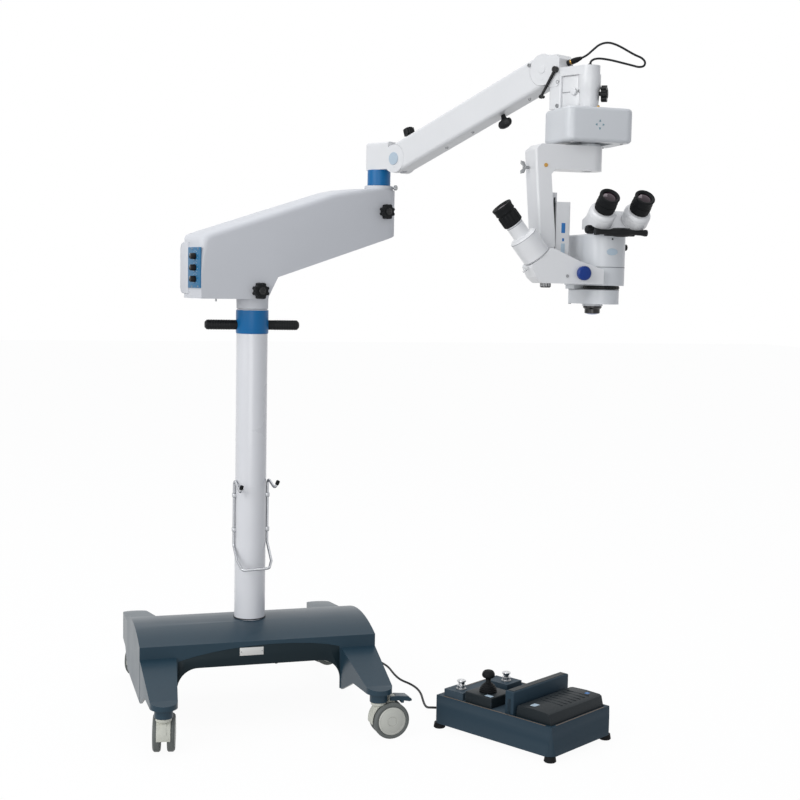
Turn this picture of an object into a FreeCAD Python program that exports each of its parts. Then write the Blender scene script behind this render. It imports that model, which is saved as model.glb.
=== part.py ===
import FreeCAD, Part
import math
import os
import Sketcher

# Surgical microscope on a castor stand with a foot control, in millimetres.
# The origin is on the floor, on the axis of the column. X runs along the base's
# long bar, the legs point along -Y and +Y, and Z is up.

Vector = FreeCAD.Vector
doc = FreeCAD.newDocument("surgical_microscope")
sheet = doc.addObject("Spreadsheet::Sheet", "Sizes")


class Size:
    """A number together with the spreadsheet formula that gives it."""

    def __init__(self, value, text):
        self.value = float(value)
        self.text = text

    def __add__(self, other):
        other = as_size(other)
        return Size(self.value + other.value, f"({self.text} + {other.text})")

    def __sub__(self, other):
        other = as_size(other)
        return Size(self.value - other.value, f"({self.text} - {other.text})")

    def __mul__(self, other):
        other = as_size(other)
        return Size(self.value * other.value, f"({self.text} * {other.text})")

    def __truediv__(self, other):
        other = as_size(other)
        return Size(self.value / other.value, f"({self.text} / {other.text})")

    def __neg__(self):
        return Size(-self.value, f"(0 - {self.text})")

    def __radd__(self, other):
        return as_size(other) + self

    def __rsub__(self, other):
        return as_size(other) - self

    def __rmul__(self, other):
        return as_size(other) * self


def as_size(number):
    return number if isinstance(number, Size) else Size(number, repr(float(number)))


def val(number):
    return as_size(number).value


SIZES = [
    ("gap", 0.3, "clearance between faces that move past each other"),
    ("shaft_gap", 0.05, "radial clearance of a turning shaft"),
    ("bar_half_length", 300, "base bar, half its length"),
    ("bar_half_depth", 150, "base bar, half its depth"),
    ("bar_edge_height", 212, "top of the base at its front edge"),
    ("bar_crown", 26, "rise of the base from its edge to the column"),
    ("skirt_bottom", 75, "lowest edge of the base cover"),
    ("arch_height", 152, "top of the arch under the base bar"),
    ("arch_radius", 52, "corner radius of that arch"),
    ("cover_wall", 6, "wall of the base cover"),
    ("castor_x", 262, "castor axis from the column, sideways"),
    ("castor_y", 322, "castor axis from the column, front to back"),
    ("leg_root_width", 92, "leg width beside the bar"),
    ("leg_tip_radius", 33, "rounded end of a leg"),
    ("leg_root_top", 182, "top of a front leg beside the bar"),
    ("leg_tip_top", 130, "top of a front leg above its castor"),
    ("rear_root_top", 204, "top of a rear leg beside the bar"),
    ("rear_tip_top", 186, "top of a rear leg above its castor"),
    ("frame_width", 60, "width of a frame arm"),
    ("collar_bottom", 91, "underside of the castor collar"),
    ("castor_trail", 28, "wheel axis behind the swivel axis"),
    ("wheel_radius", 45, "castor wheel"),
    ("wheel_width", 18, "width of one castor wheel"),
    ("wheel_gap", 16, "space between the twin wheels"),
    ("axle_radius", 5, "castor axle"),
    ("stem_radius", 8, "castor stem"),
    ("stem_length", 24, "castor stem above its collar"),
    ("column_radius", 40, "column tube"),
    ("column_bore", 16, "cable duct through the column"),
    ("socket_top", 210, "top of the column socket"),
    ("spigot_radius", 32, "turned ends of the column"),
    ("column_top", 1041, "shoulder of the column"),
    ("spigot_length", 110, "column journal inside the lower arm"),
    ("collar_height", 63, "blue collar"),
    ("collar_wall", 1.6, "wall of the blue collar"),
    ("handle_drop", 41, "push handle axis under the collar's top"),
    ("handle_radius", 12.5, "push handle"),
    ("handle_reach", 122, "end of a push handle from the column axis"),
    ("arm_turn", 17, "direction of the lower arm"),
    ("arm_reach", 380, "column axis to post axis"),
    ("arm_left", 172, "lower arm behind the column"),
    ("arm_right", 43, "lower arm past the post axis"),
    ("arm_half_width", 59, "lower arm, half its width at the column"),
    ("arm_tip_width", 44, "lower arm, half its width at the post"),
    ("arm_bottom", 26, "underside of the lower arm above the column's shoulder"),
    ("arm_back_top", 172, "top of the lower arm at its back"),
    ("arm_front_top", 320, "top of the lower arm at the post"),
    ("arm_front_bottom", 202, "underside of the lower arm at the post"),
    ("neck_radius", 42, "round neck around the column"),
    ("neck_gap", 8, "neck above the collar"),
    ("post_radius", 31, "blue post"),
    ("post_shaft_radius", 22, "post shaft in the lower arm"),
    ("post_shaft_length", 105, "depth of the post shaft"),
    ("ring_height", 12, "white ring on the lower arm"),
    ("ring_radius", 39, "white ring on the lower arm"),
    ("post_height", 42, "blue post above the ring"),
    ("spring_turn", -62.3, "direction of the spring arm"),
    ("yoke_height", 72, "yoke block"),
    ("yoke_half_width", 26, "half the width of the spring arm"),
    ("pivot_out", 82, "arm pivot from the post axis"),
    ("pivot_up", 26, "arm pivot above the yoke's underside"),
    ("beam_pitch", 20.2, "rise of the spring arm"),
    ("beam_length", 530, "between the two pivots of the spring arm"),
    ("beam_half_height", 38, "half the height of the spring arm"),
    ("nose_radius", 37, "rounded nose round each arm pivot"),
    ("nose_back", 22, "block faces behind the arm pivots"),
    ("beam_wall", 5, "wall of the spring arm"),
    ("pin_radius", 6, "pivot pins"),
    ("link_drop", 21, "lower link pivots under the main pivots"),
    ("tongue_half_width", 9, "half the width of the pivot tongues"),
    ("tip_reach", 122, "arm end pivot to the head's spindle"),
    ("tip_block_end", 52, "front of the end block past its pivot"),
    ("spindle_radius", 12, "head spindle"),
    ("xy_width", 168, "housing of the cross slide"),
    ("xy_depth", 145, "housing of the cross slide"),
    ("xy_height", 79, "housing of the cross slide"),
    ("xy_drop", 101, "top of that housing under the arm end pivot"),
    ("xy_wall", 8, "wall of that housing"),
    ("xy_travel", 22, "travel of each slide each way"),
    ("focus_drop", 186, "top of the focus arm under the arm end pivot"),
    ("focus_height", 56, "height of the focus arm's upper limb"),
    ("optic_axis", 25, "optical axis from the spindle"),
    ("optic_front", 45, "centre of the curved front"),
    ("optic_half_width", 52, "half the width of the optics body"),
    ("optic_back", 48, "back of the optics body"),
    ("optic_top", 389, "top of the optics body under the arm end pivot"),
    ("optic_upper", 74, "height of the upper optics block"),
    ("objective_radius", 18, "objective mount"),
    ("tilt_left", 53, "tilt axis left of the spindle"),
    ("tilt_drop", 479, "tilt axis under the arm end pivot"),
    ("tilt_radius", 16, "tilt hinge and knob"),
    ("eye_spacing", 86, "between the eyepieces"),
    ("eye_radius", 23.5, "eyecup"),
    ("eye_tilt", 45, "eyepieces against the vertical"),
    ("assist_front", 80, "assistant tube in front of the spindle"),
    ("assist_tilt", 39, "assistant tube against the vertical"),
    ("pedal_x", 619, "middle of the foot control"),
    ("pedal_y", -378, "middle of the foot control"),
    ("pedal_turn", -59.5, "direction of the foot control's long side"),
    ("pedal_length", 372, "foot control"),
    ("pedal_width", 256, "foot control"),
    ("pedal_height", 70, "foot control without its feet"),
    ("pedal_foot", 14, "rubber foot of the foot control"),
    ("cord_radius", 3, "foot control cable"),
    ("lead_radius", 2.5, "head cable"),
]

for row, (alias, value, note) in enumerate(SIZES, start=1):
    sheet.set(f"A{row}", alias)
    sheet.set(f"B{row}", str(value))
    sheet.set(f"C{row}", note)
    sheet.setAlias(f"B{row}", alias)
doc.recompute()
z = {alias: Size(value, f"Sizes.{alias}") for alias, value, note in SIZES}


def bind(thing, prop, number):
    """Give a property its size, by formula where the size comes from the sheet."""
    number = as_size(number)
    if "Sizes." in number.text:
        thing.setExpression(prop, number.text)


def new_body(name):
    return doc.addObject("PartDesign::Body", name)


def sketch_in(body, plane, start=0):
    """A sketch on one of the body's own planes, moved along its normal."""
    sketch = body.newObject("Sketcher::SketchObject", body.Name + "_sketch")
    support = [f for f in body.Origin.OriginFeatures if f.Role == plane][0]
    sketch.AttachmentSupport = [(support, "")]
    sketch.MapMode = "FlatFace"
    if val(start):
        sketch.AttachmentOffset = FreeCAD.Placement(Vector(0, 0, val(start)), FreeCAD.Rotation())
        bind(sketch, "AttachmentOffset.Base.z", start)
    return sketch


def draw(sketch, corners):
    """A closed outline. A corner is x, y, or x, y, radius where an arc to the next corner starts.

    A positive radius bulges to the right of the way to the next corner, and "round" is a
    half circle on that side.
    """
    count = len(corners)
    spots = [(val(c[0]), val(c[1])) for c in corners]
    ends = []
    for index in range(count):
        a = spots[index]
        b = spots[(index + 1) % count]
        if len(corners[index]) == 2:
            sketch.addGeometry(Part.LineSegment(Vector(a[0], a[1], 0), Vector(b[0], b[1], 0)))
            ends.append((1, 2))
            continue
        if corners[index][2] == "round":
            middle = Vector((a[0] + b[0] + b[1] - a[1]) / 2, (a[1] + b[1] - b[0] + a[0]) / 2, 0)
            sketch.addGeometry(Part.ArcOfCircle(Vector(a[0], a[1], 0), middle, Vector(b[0], b[1], 0)))
            ends.append((1, 2))
            continue
        radius = val(corners[index][2])
        side = 1 if radius > 0 else -1
        half = math.hypot(b[0] - a[0], b[1] - a[1]) / 2
        away = math.sqrt(max(radius * radius - half * half, 0))
        unit = ((b[0] - a[0]) / (2 * half), (b[1] - a[1]) / (2 * half))
        rise = (abs(radius) - away) * side
        middle = Vector((a[0] + b[0]) / 2 + unit[1] * rise, (a[1] + b[1]) / 2 - unit[0] * rise, 0)
        sketch.addGeometry(Part.ArcOfCircle(Vector(a[0], a[1], 0), middle, Vector(b[0], b[1], 0)))
        ends.append((1, 2) if side > 0 else (2, 1))
    rules = []
    formulas = []
    for index in range(count):
        following = (index + 1) % count
        rules.append(Sketcher.Constraint("Coincident", index, ends[index][1], following, ends[following][0]))
    for index, corner in enumerate(corners):
        for kind, number in (("DistanceX", corner[0]), ("DistanceY", corner[1])):
            rules.append(Sketcher.Constraint(kind, -1, 1, index, ends[index][0], val(number)))
            formulas.append((len(rules) - 1, as_size(number)))
        if len(corner) == 3 and corner[2] == "round":
            rules.append(Sketcher.Constraint("Symmetric", index, 1, index, 2, index, 3))
        elif len(corner) == 3:
            rules.append(Sketcher.Constraint("Radius", index, abs(val(corner[2]))))
            number = as_size(corner[2])
            formulas.append((len(rules) - 1, number if number.value > 0 else -number))
    sketch.addConstraint(rules)
    for index, number in formulas:
        bind(sketch, f"Constraints[{index}]", number)


def draw_circle(sketch, x, y, radius):
    sketch.addGeometry(Part.Circle(Vector(val(x), val(y), 0), Vector(0, 0, 1), val(radius)))
    index = len(sketch.Geometry) - 1
    rules = [
        Sketcher.Constraint("DistanceX", -1, 1, index, 3, val(x)),
        Sketcher.Constraint("DistanceY", -1, 1, index, 3, val(y)),
        Sketcher.Constraint("Radius", index, val(radius)),
    ]
    first = sketch.ConstraintCount
    sketch.addConstraint(rules)
    for offset, number in enumerate((x, y, radius)):
        bind(sketch, f"Constraints[{first + offset}]", number)


def pad(body, plane, start, length, outline=None, circle=None):
    """Add material between start and start + length along the plane's normal."""
    sketch = sketch_in(body, plane, start)
    draw(sketch, outline) if outline else draw_circle(sketch, *circle)
    feature = body.newObject("PartDesign::Pad", body.Name + "_pad")
    feature.Profile = sketch
    feature.Length = val(length)
    bind(feature, "Length", length)
    doc.recompute()
    if "Invalid" in feature.State or feature.Shape.isNull():
        raise RuntimeError(body.Name + ": a pad fails")
    return body


def pocket(body, plane, start, length, outline=None, circle=None):
    """Remove material between start and start + length along the plane's normal."""
    sketch = sketch_in(body, plane, as_size(start) + length)
    draw(sketch, outline) if outline else draw_circle(sketch, *circle)
    before = body.Tip.Shape.Volume
    feature = body.newObject("PartDesign::Pocket", body.Name + "_pocket")
    feature.Profile = sketch
    feature.Length = val(length)
    bind(feature, "Length", length)
    doc.recompute()
    if not body.Tip.Shape.Volume < before - 0.01:
        raise RuntimeError(body.Name + ": a pocket cuts nothing")
    return body


def revolve(body, outline, groove=False):
    """Turn an outline of radius and height about the Z axis."""
    sketch = sketch_in(body, "XZ_Plane")
    draw(sketch, outline)
    kind = "PartDesign::Groove" if groove else "PartDesign::Revolution"
    feature = body.newObject(kind, body.Name + "_turned")
    feature.Profile = sketch
    feature.ReferenceAxis = (sketch, ["V_Axis"])
    feature.Angle = 360
    doc.recompute()
    return body


def soften(body, radius, pick, kind="Fillet"):
    """Round or chamfer the edges whose middle point passes the test."""
    base = body.Tip
    names = []
    for index, edge in enumerate(base.Shape.Edges, start=1):
        middle = edge.valueAt((edge.FirstParameter + edge.LastParameter) / 2)
        if pick(middle, edge):
            names.append(f"Edge{index}")
    feature = body.newObject("PartDesign::" + kind, body.Name + "_soft")
    feature.Base = (base, names)
    prop = "Radius" if kind == "Fillet" else "Size"
    setattr(feature, prop, val(radius))
    bind(feature, prop, radius)
    doc.recompute()
    if "Invalid" in feature.State or feature.Shape.isNull():
        raise RuntimeError(body.Name + ": edges can't be softened")
    return body


def box_outline(x0, x1, y0, y1):
    return [(x0, y0), (x1, y0), (x1, y1), (x0, y1)]


def lathe(name, outline):
    return revolve(new_body(name), outline)


def join(name, pieces):
    result = doc.addObject("Part::MultiFuse", name)
    result.Shapes = pieces
    result.Refine = True
    doc.recompute()
    return result


def group(name, pieces):
    result = doc.addObject("Part::Compound", name)
    result.Links = pieces
    doc.recompute()
    return result


def less(name, base, tool):
    result = doc.addObject("Part::Cut", name)
    result.Base = base
    result.Tool = tool
    doc.recompute()
    if not result.Shape.Volume < base.Shape.Volume - 0.01:
        raise RuntimeError(name + ": a cut removes nothing")
    return result


def common(name, base, tool):
    result = doc.addObject("Part::Common", name)
    result.Base = base
    result.Tool = tool
    doc.recompute()
    return result


def turn(axis, degrees):
    return FreeCAD.Placement(Vector(), FreeCAD.Rotation(Vector(*axis), val(degrees)))


def shift(x, y, height):
    return FreeCAD.Placement(Vector(val(x), val(y), val(height)), FreeCAD.Rotation())


def place(piece, placement):
    piece.Placement = placement
    return piece


nodes = []


def node(label, piece, placement=None):
    """Finish a sub-part: its label names its file."""
    piece.Label = label
    if placement is not None:
        piece.Placement = placement
    nodes.append(piece)
    return piece


def vertical(edge):
    if len(edge.Vertexes) < 2:
        return False
    a, b = edge.Vertexes[0].Point, edge.Vertexes[-1].Point
    return abs(a.x - b.x) < 0.01 and abs(a.y - b.y) < 0.01


def rounded_path(points, largest=1000):
    """Straight runs joined by tangent arcs, each as large as its two runs allow."""
    points = [Vector(*p) for p in points]
    edges = []
    radii = []
    last = points[0]
    for index in range(1, len(points) - 1):
        before = points[index] - points[index - 1]
        after = points[index + 1] - points[index]
        angle = before.getAngle(after)
        radius = min(largest, 0.45 * min(before.Length, after.Length) / math.tan(angle / 2))
        cut = radius * math.tan(angle / 2)
        start = points[index] - before.normalize() * cut
        end = points[index] + after.normalize() * cut
        inward = (after - before).normalize()
        centre = points[index] + inward * (radius / math.cos(angle / 2))
        middle = centre - inward * radius
        edges.append(Part.LineSegment(last, start).toShape())
        edges.append(Part.Arc(start, middle, end).toShape())
        radii.append(radius)
        last = end
    edges.append(Part.LineSegment(last, points[-1]).toShape())
    return Part.Wire(edges), radii


def tube_along(name, points, radius, largest=1000):
    """A round bar that follows a path, with its volume tested."""
    wire, radii = rounded_path(points, largest)
    pieces = []
    for edge in wire.OrderedEdges:
        start = edge.valueAt(edge.FirstParameter)
        way = edge.tangentAt(edge.FirstParameter)
        face = Part.Face(Part.Wire([Part.Circle(start, way, val(radius)).toShape()]))
        if isinstance(edge.Curve, Part.Circle):
            sweep = math.degrees(edge.LastParameter - edge.FirstParameter)
            pieces.append(face.revolve(edge.Curve.Center, edge.Curve.Axis, sweep))
        else:
            pieces.append(face.extrude(way * edge.Length))
    solid = pieces[0].multiFuse(pieces[1:])
    wanted = math.pi * val(radius) ** 2 * wire.Length
    print(f"{name}: length {wire.Length:.1f}, radii {[round(r, 1) for r in radii]}")
    print(f"{name}: volume {solid.Volume:.0f}, section times length {wanted:.0f}")
    piece = doc.addObject("Part::Feature", name)
    piece.Shape = solid.Solids[0]
    return piece


# Base cover: one moulding over the bar and the four hollow legs
def cover_form(name, inset, below):
    """The cover's outer form, or its hollow when it is inset and reaches below the skirt."""
    half_x = z["bar_half_length"] - inset
    half_y = z["bar_half_depth"] - inset
    edge = z["bar_edge_height"] - inset
    bottom = z["skirt_bottom"] - below
    crown = z["bar_crown"]
    crown_radius = (half_y * half_y + crown * crown) / (crown * 2)
    inner = z["bar_half_length"] - z["leg_root_width"] + inset
    body = new_body(name)
    pad(body, "YZ_Plane", -half_x, half_x * 2, [
        (-half_y, bottom), (half_y, bottom), (half_y, edge, crown_radius), (-half_y, edge)])
    arch = z["arch_height"]
    radius = z["arch_radius"]
    leg_gap = z["bar_half_length"] - z["leg_root_width"]
    if val(inset) == 0:
        pocket(body, "XZ_Plane", -half_y - 1, half_y * 2 + 2, [
            (-leg_gap, bottom - 1), (leg_gap, bottom - 1), (leg_gap, arch - radius, radius),
            (leg_gap - radius, arch), (radius - leg_gap, arch, radius), (-leg_gap, arch - radius)])
    tip = z["leg_tip_radius"] - inset
    for side in (-1, 1):
        for end in (-1, 1):
            front = end < 0
            root = (z["leg_root_top"] if front else z["rear_root_top"]) - inset
            root_y = z["bar_half_depth"] - z["cover_wall"] - 8
            left = (half_x, root_y)
            outer_tip = (z["castor_x"] + tip, z["castor_y"])
            inner_tip = (z["castor_x"] - tip, z["castor_y"])
            corners = [left, outer_tip + ("round",), inner_tip, (inner, root_y)]
            if side * end < 0:
                corners = [(inner, root_y), inner_tip + ("round",), outer_tip, left]
            corners = [(c[0] * side, c[1] * end) + tuple(c[2:]) for c in corners]
            pad(body, "XY_Plane", bottom, root - bottom, corners)
    for end in (-1, 1):
        front = end < 0
        root = (z["leg_root_top"] if front else z["rear_root_top"]) - inset
        tip_top = (z["leg_tip_top"] if front else z["rear_tip_top"]) - inset
        root_y = z["bar_half_depth"]
        far_y = z["castor_y"] + z["leg_tip_radius"] + 4
        top = [(root_y, root), (z["castor_y"], tip_top), (far_y, tip_top - 6), (far_y, root + 5),
               (root_y, root + 5)]
        pocket(body, "YZ_Plane", -half_x - 1, half_x * 2 + 2, [(c[0] * end, c[1]) for c in top])
        if val(inset) == 0:
            under = [(root_y + 8, bottom - 1), (root_y + 8, bottom), (z["castor_y"] - 87, bottom + 38),
                     (far_y, bottom + 38), (far_y, bottom - 1)]
            pocket(body, "YZ_Plane", -half_x - 1, half_x * 2 + 2, [(c[0] * end, c[1]) for c in under])
    return body


outer_form = cover_form("cover_outer", as_size(0), as_size(0))
hollow_form = cover_form("cover_hollow", z["cover_wall"], as_size(10))
cover_shell = less("cover_shell", outer_form, hollow_form)
column_hole = lathe("column_hole", box_outline(0, z["column_radius"] + z["gap"], 100, 300))
cable_gland = lathe("cable_gland", [(0, 0), (10, 0), (10, 3), (7, 5), (4.5, 12), (0, 12)])
place(cable_gland, shift(120, z["bar_half_depth"], 178) * turn((1, 0, 0), -90))
node("base_cover", join("cover_with_gland", [less("cover_with_hole", cover_shell, column_hole), cable_gland]))


# Base frame: cast bar, arms, castor bosses and column socket
def make_base_frame():
    body = new_body("base_frame")
    half = z["frame_width"] / 2
    arm = as_size(22)
    bar_bottom = z["arch_height"] + z["cover_wall"] + 2
    arm_top = z["collar_bottom"] + 26
    arm_bottom = z["collar_bottom"] + 16
    reach = z["castor_x"]
    pad(body, "XY_Plane", bar_bottom, 26, box_outline(-reach - arm + 2, reach + arm - 2, -half, half))
    for side in (-1, 1):
        x0 = reach * side - arm
        pad(body, "XY_Plane", arm_bottom, bar_bottom - arm_bottom, box_outline(x0, x0 + arm * 2, -half, half))
        pad(body, "XY_Plane", arm_bottom, arm_top - arm_bottom,
            box_outline(x0, x0 + arm * 2, -z["castor_y"], z["castor_y"]))
        for end in (-1, 1):
            spot = (reach * side, z["castor_y"] * end)
            pad(body, "XY_Plane", z["collar_bottom"], arm_top - z["collar_bottom"], circle=spot + (arm,))
            pocket(body, "XY_Plane", z["collar_bottom"], arm_top - z["collar_bottom"],
                   circle=spot + (z["stem_radius"] + z["shaft_gap"],))
    pad(body, "XY_Plane", bar_bottom, z["socket_top"] - bar_bottom, circle=(0, 0, 52))
    pocket(body, "XY_Plane", bar_bottom - 1, z["socket_top"] - bar_bottom + 2,
           circle=(0, 0, z["spigot_radius"]))
    return body


node("base_frame", make_base_frame())


# Castors: swivelling housing with stem, twin wheels on one axle, brake pedal
def make_castor_housing(name):
    body = new_body(name)
    trail = z["castor_trail"]
    axle = z["wheel_radius"]
    half = z["wheel_gap"] / 2 - z["gap"]
    wide = z["wheel_gap"] / 2 + z["wheel_width"]
    top = z["collar_bottom"] - z["gap"]
    inside = z["wheel_radius"] + 1.5
    outside = inside + 3
    pad(body, "XZ_Plane", -half, half * 2, [
        (trail - outside, axle), (trail - 16, axle - 16), (trail + 16, axle - 16), (40, axle + 10),
        (40, 104), (25, 104), (25, top), (-4, top), (trail - outside, axle + 14)])
    pad(body, "XZ_Plane", -wide, wide * 2, [
        (trail - outside, axle), (trail - inside, axle, -inside),
        (trail - inside * 0.6, axle + inside * 0.8), (trail - outside * 0.6, axle + outside * 0.8, outside)])
    pad(body, "XY_Plane", top - 10, 10, circle=(0, 0, half))
    pad(body, "XY_Plane", top, z["gap"] + z["stem_length"], circle=(0, 0, z["stem_radius"]))
    pocket(body, "XZ_Plane", -half - 1, half * 2 + 2, circle=(trail, axle, z["axle_radius"] + z["shaft_gap"]))
    pocket(body, "XZ_Plane", -half - 1, half * 2 + 2, circle=(31, 98, 3.05))
    return body


def make_castor_wheels(name):
    """Tyres, hub discs and axle, turned about Z and laid along Y when placed."""
    inner = z["wheel_gap"] / 2
    outer = inner + z["wheel_width"]
    big = z["wheel_radius"]
    hub = big - 10
    one_side = [
        (z["axle_radius"], inner), (big - 3, inner), (big, inner + 3), (big, outer - 4), (big - 4, outer),
        (hub + 2, outer), (hub, outer - 2), (hub - 2, outer - 1), (12, outer - 1), (10, outer), (0, outer)]
    other_side = [(radius, -height) for radius, height in reversed(one_side)]
    return lathe(name, other_side + one_side)


def make_castor_brake(name):
    body = new_body(name)
    half = z["wheel_gap"] / 2
    pad(body, "XZ_Plane", -14, 28, [
        (26, 93), (36, 92.5), (54, 92.5), (55, 85.5), (61, 85.5), (62, 91), (76, 88), (81, 89, 4),
        (80, 95), (72, 101), (44, 104), (26, 103)])
    pocket(body, "XZ_Plane", -half, half * 2, [(20, 80), (42, 80), (42, 110), (20, 110)])
    pocket(body, "XZ_Plane", -15, 30, circle=(31, 98, 3.05))
    pin = new_body(name + "_pin")
    pad(pin, "XZ_Plane", -14.5, 29, circle=(31, 98, 3))
    return join(name + "_joined", [body, pin])


CASTORS = (
    ("front_left", -1, -1, 80), ("front_right", 1, -1, 2), ("rear_left", -1, 1, 60), ("rear_right", 1, 1, 20))
for corner, side, end, swivel in CASTORS:
    spot = shift(z["castor_x"] * side, z["castor_y"] * end, 0) * turn((0, 0, 1), swivel)
    node("castor_housing_" + corner, make_castor_housing("housing_" + corner), spot)
    axle_spot = shift(z["castor_trail"], 0, z["wheel_radius"]) * turn((1, 0, 0), 90)
    node("castor_wheels_" + corner, make_castor_wheels("wheels_" + corner), spot * axle_spot)
    node("castor_brake_" + corner, make_castor_brake("brake_" + corner), spot)


# Column with its turned ends, collar, push handles and the wire that holds the foot control
seat = z["socket_top"]
column_bottom = z["arch_height"] + z["cover_wall"] + 2
shoulder = z["column_top"]
node("column_tube", lathe("column_tube", [
    (z["column_bore"], column_bottom), (z["spigot_radius"], column_bottom), (z["spigot_radius"], seat),
    (z["column_radius"], seat), (z["column_radius"], shoulder - 2), (z["column_radius"] - 2, shoulder),
    (z["spigot_radius"], shoulder), (z["spigot_radius"], shoulder + z["spigot_length"]),
    (z["column_bore"], shoulder + z["spigot_length"])]))
collar_low = shoulder - z["collar_height"]
collar_out = z["column_radius"] + z["collar_wall"]
node("column_collar", lathe("column_collar", [
    (z["column_radius"], collar_low), (collar_out - 1, collar_low), (collar_out, collar_low + 3),
    (collar_out, shoulder - 3), (z["column_radius"], shoulder - 3)]))


def make_push_handle(name, side):
    grip = z["handle_radius"]
    start = z["column_radius"] - 6
    body = lathe(name + "_grip", [
        (0, start), (grip, start), (grip, z["handle_reach"] - 5), (grip - 5, z["handle_reach"]),
        (0, z["handle_reach"])])
    place(body, turn((0, 1, 0), 90 * side))
    tube = lathe(name + "_clear", box_outline(0, collar_out, -60, 60))
    return less(name, body, tube)


handles = group("push_handle_pair", [
    make_push_handle("handle_right", 1), make_push_handle("handle_left", -1)])
node("push_handles", handles, shift(0, 0, shoulder - z["handle_drop"]))

wire_x = z["column_radius"].value + 3.8
HANGER = [
    (-33, -58, 592), (-37, -54, 572), (-wire_x, -4, 604), (-wire_x, -3, 428), (-42, -44, 395), (-34, -80, 378),
    (34, -86, 382), (46, -52, 394), (wire_x, -3, 436), (wire_x, -4, 604), (54, -50, 582), (62, -54, 602)]
node("pedal_hanger", tube_along("pedal_hanger", HANGER, 3.5, 9))


# Foot control: tapered box, two rockers, joystick and two buttons
control = shift(z["pedal_x"], z["pedal_y"], 0) * turn((0, 0, 1), z["pedal_turn"])


def make_control_box():
    half_l = z["pedal_length"] / 2
    half_w = z["pedal_width"] / 2
    low = z["pedal_foot"]
    top = low + z["pedal_height"]
    body = new_body("control_box")
    taper = 8
    pad(body, "XY_Plane", low, z["pedal_height"], box_outline(-half_l, half_l, -half_w, half_w))
    soften(body, 26, lambda middle, edge: vertical(edge))
    for end in (-1, 1):
        pocket(body, "XZ_Plane", -half_w - 1, half_w * 2 + 2, [
            (c[0] * end, c[1]) for c in (
                (half_l + 1, low - 1), (half_l - 0.6, low - 1), (half_l - taper, top + 1), (half_l + 1, top + 1))])
        pocket(body, "YZ_Plane", -half_l - 1, half_l * 2 + 2, [
            (c[0] * end, c[1]) for c in (
                (half_w + 1, low - 1), (half_w - 0.6, low - 1), (half_w - taper, top + 1), (half_w + 1, top + 1))])
    pocket(body, "XY_Plane", top - 34, 34, box_outline(60, 170, -110, 112))
    pocket(body, "XY_Plane", top - 24, 24, box_outline(-44, 30, 16, 108))
    pad(body, "XY_Plane", top - 35, 20.7, box_outline(113, 117, -111, 113))
    pad(body, "XY_Plane", top - 25, 12.7, box_outline(-9, -5, 15, 109))
    pad(body, "XY_Plane", top - 2, 40, box_outline(40, 50, -112, 114))
    pad(body, "XY_Plane", top - 2, 20, box_outline(-160, -100, -112, -50))
    pocket(body, "XY_Plane", top - 18, 36, circle=(-130, -82, 9))
    pad(body, "XY_Plane", top - 2, 18, box_outline(-92, -10, -112, -30))
    pocket(body, "XY_Plane", top - 30, 46, circle=(-52, -72, 24))
    pad(body, "XY_Plane", top - 2, 16, box_outline(-130, -76, 36, 96))
    pocket(body, "XY_Plane", top - 18, 32, circle=(-103, 66, 9))
    feet = []
    for x in (-1, 1):
        for y in (-1, 1):
            foot = lathe(f"rubber_foot_{x + 1}{y + 1}", [
                (0, 0), (13, 0), (15, 2), (13, low), (0, low)])
            feet.append(place(foot, shift((half_l - 14) * x, (half_w - 14) * y, 0)))
    gland = lathe("control_gland", [(0, 0), (10, 0), (10, 3), (7, 5), (4.5, 15), (0, 15)])
    place(gland, shift(-183.5, -56, 24) * turn((0, 1, 0), -90))
    return group("control_box_with_feet", [join("control_box_and_gland", [body, gland])] + feet)


node("foot_control_box", make_control_box(), control)
control_top = z["pedal_foot"] + z["pedal_height"]


def make_pedal(name, x0, x1, y0, y1, deep):
    """A rocker that turns on a pin across the well, with a ribbed tread."""
    body = new_body(name)
    middle = (x0 + x1) / 2
    pad(body, "XZ_Plane", -y1, y1 - y0, [
        (x0, -8), (middle, -deep), (x1, -8), (x1, 3), (middle, 8), (x0, 3)])
    for step in range(5):
        spot = y0 + (y1 - y0) * (step + 1) / 6
        pocket(body, "YZ_Plane", x0 - 1, x1 - x0 + 2, [
            (spot - 1.5, 6), (spot + 1.5, 6), (spot + 1.5, 9), (spot - 1.5, 9)])
    return body


node("pedal_right", make_pedal("pedal_right", 63, 167, -108, 110, 14), control * shift(0, 0, control_top))
node("pedal_left", make_pedal("pedal_left", -41, 27, 18, 106, 12), control * shift(0, 0, control_top))
for name, x, y, top in (("foot_button_left", -130, -82, 18), ("foot_button_right", -103, 66, 14)):
    button = lathe(name, [(0, -9), (8.7, -9), (8.7, top + 10), (7, top + 12), (0, top + 12)])
    node(name, button, control * shift(x, y, control_top))

gimbal = new_body("joystick_gimbal")
pad(gimbal, "XY_Plane", -6, 12, circle=(0, 0, 20))
pocket(gimbal, "XY_Plane", -7, 14, circle=(0, 0, 13))
pad(gimbal, "XZ_Plane", 19.5, 4, circle=(0, 0, 4))
pad(gimbal, "XZ_Plane", -23.5, 4, circle=(0, 0, 4))
joystick_spot = control * shift(-52, -72, control_top - 4)
node("joystick_gimbal", gimbal, joystick_spot)
stick = lathe("joystick", [
    (0, -8), (10, -8), (12.7, 0), (10, 6), (9, 20), (23, 29), (14, 33), (12, 35), (14, 38), (6, 43), (5, 62),
    (16, 66), (21, 72), (19, 79), (10, 84), (0, 85)])
node("joystick", stick, joystick_spot)


# Lower arm: moulded housing on the column, control panel, clamp knobs
arm = turn((0, 0, 1), z["arm_turn"])
base_z = z["column_top"]


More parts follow.
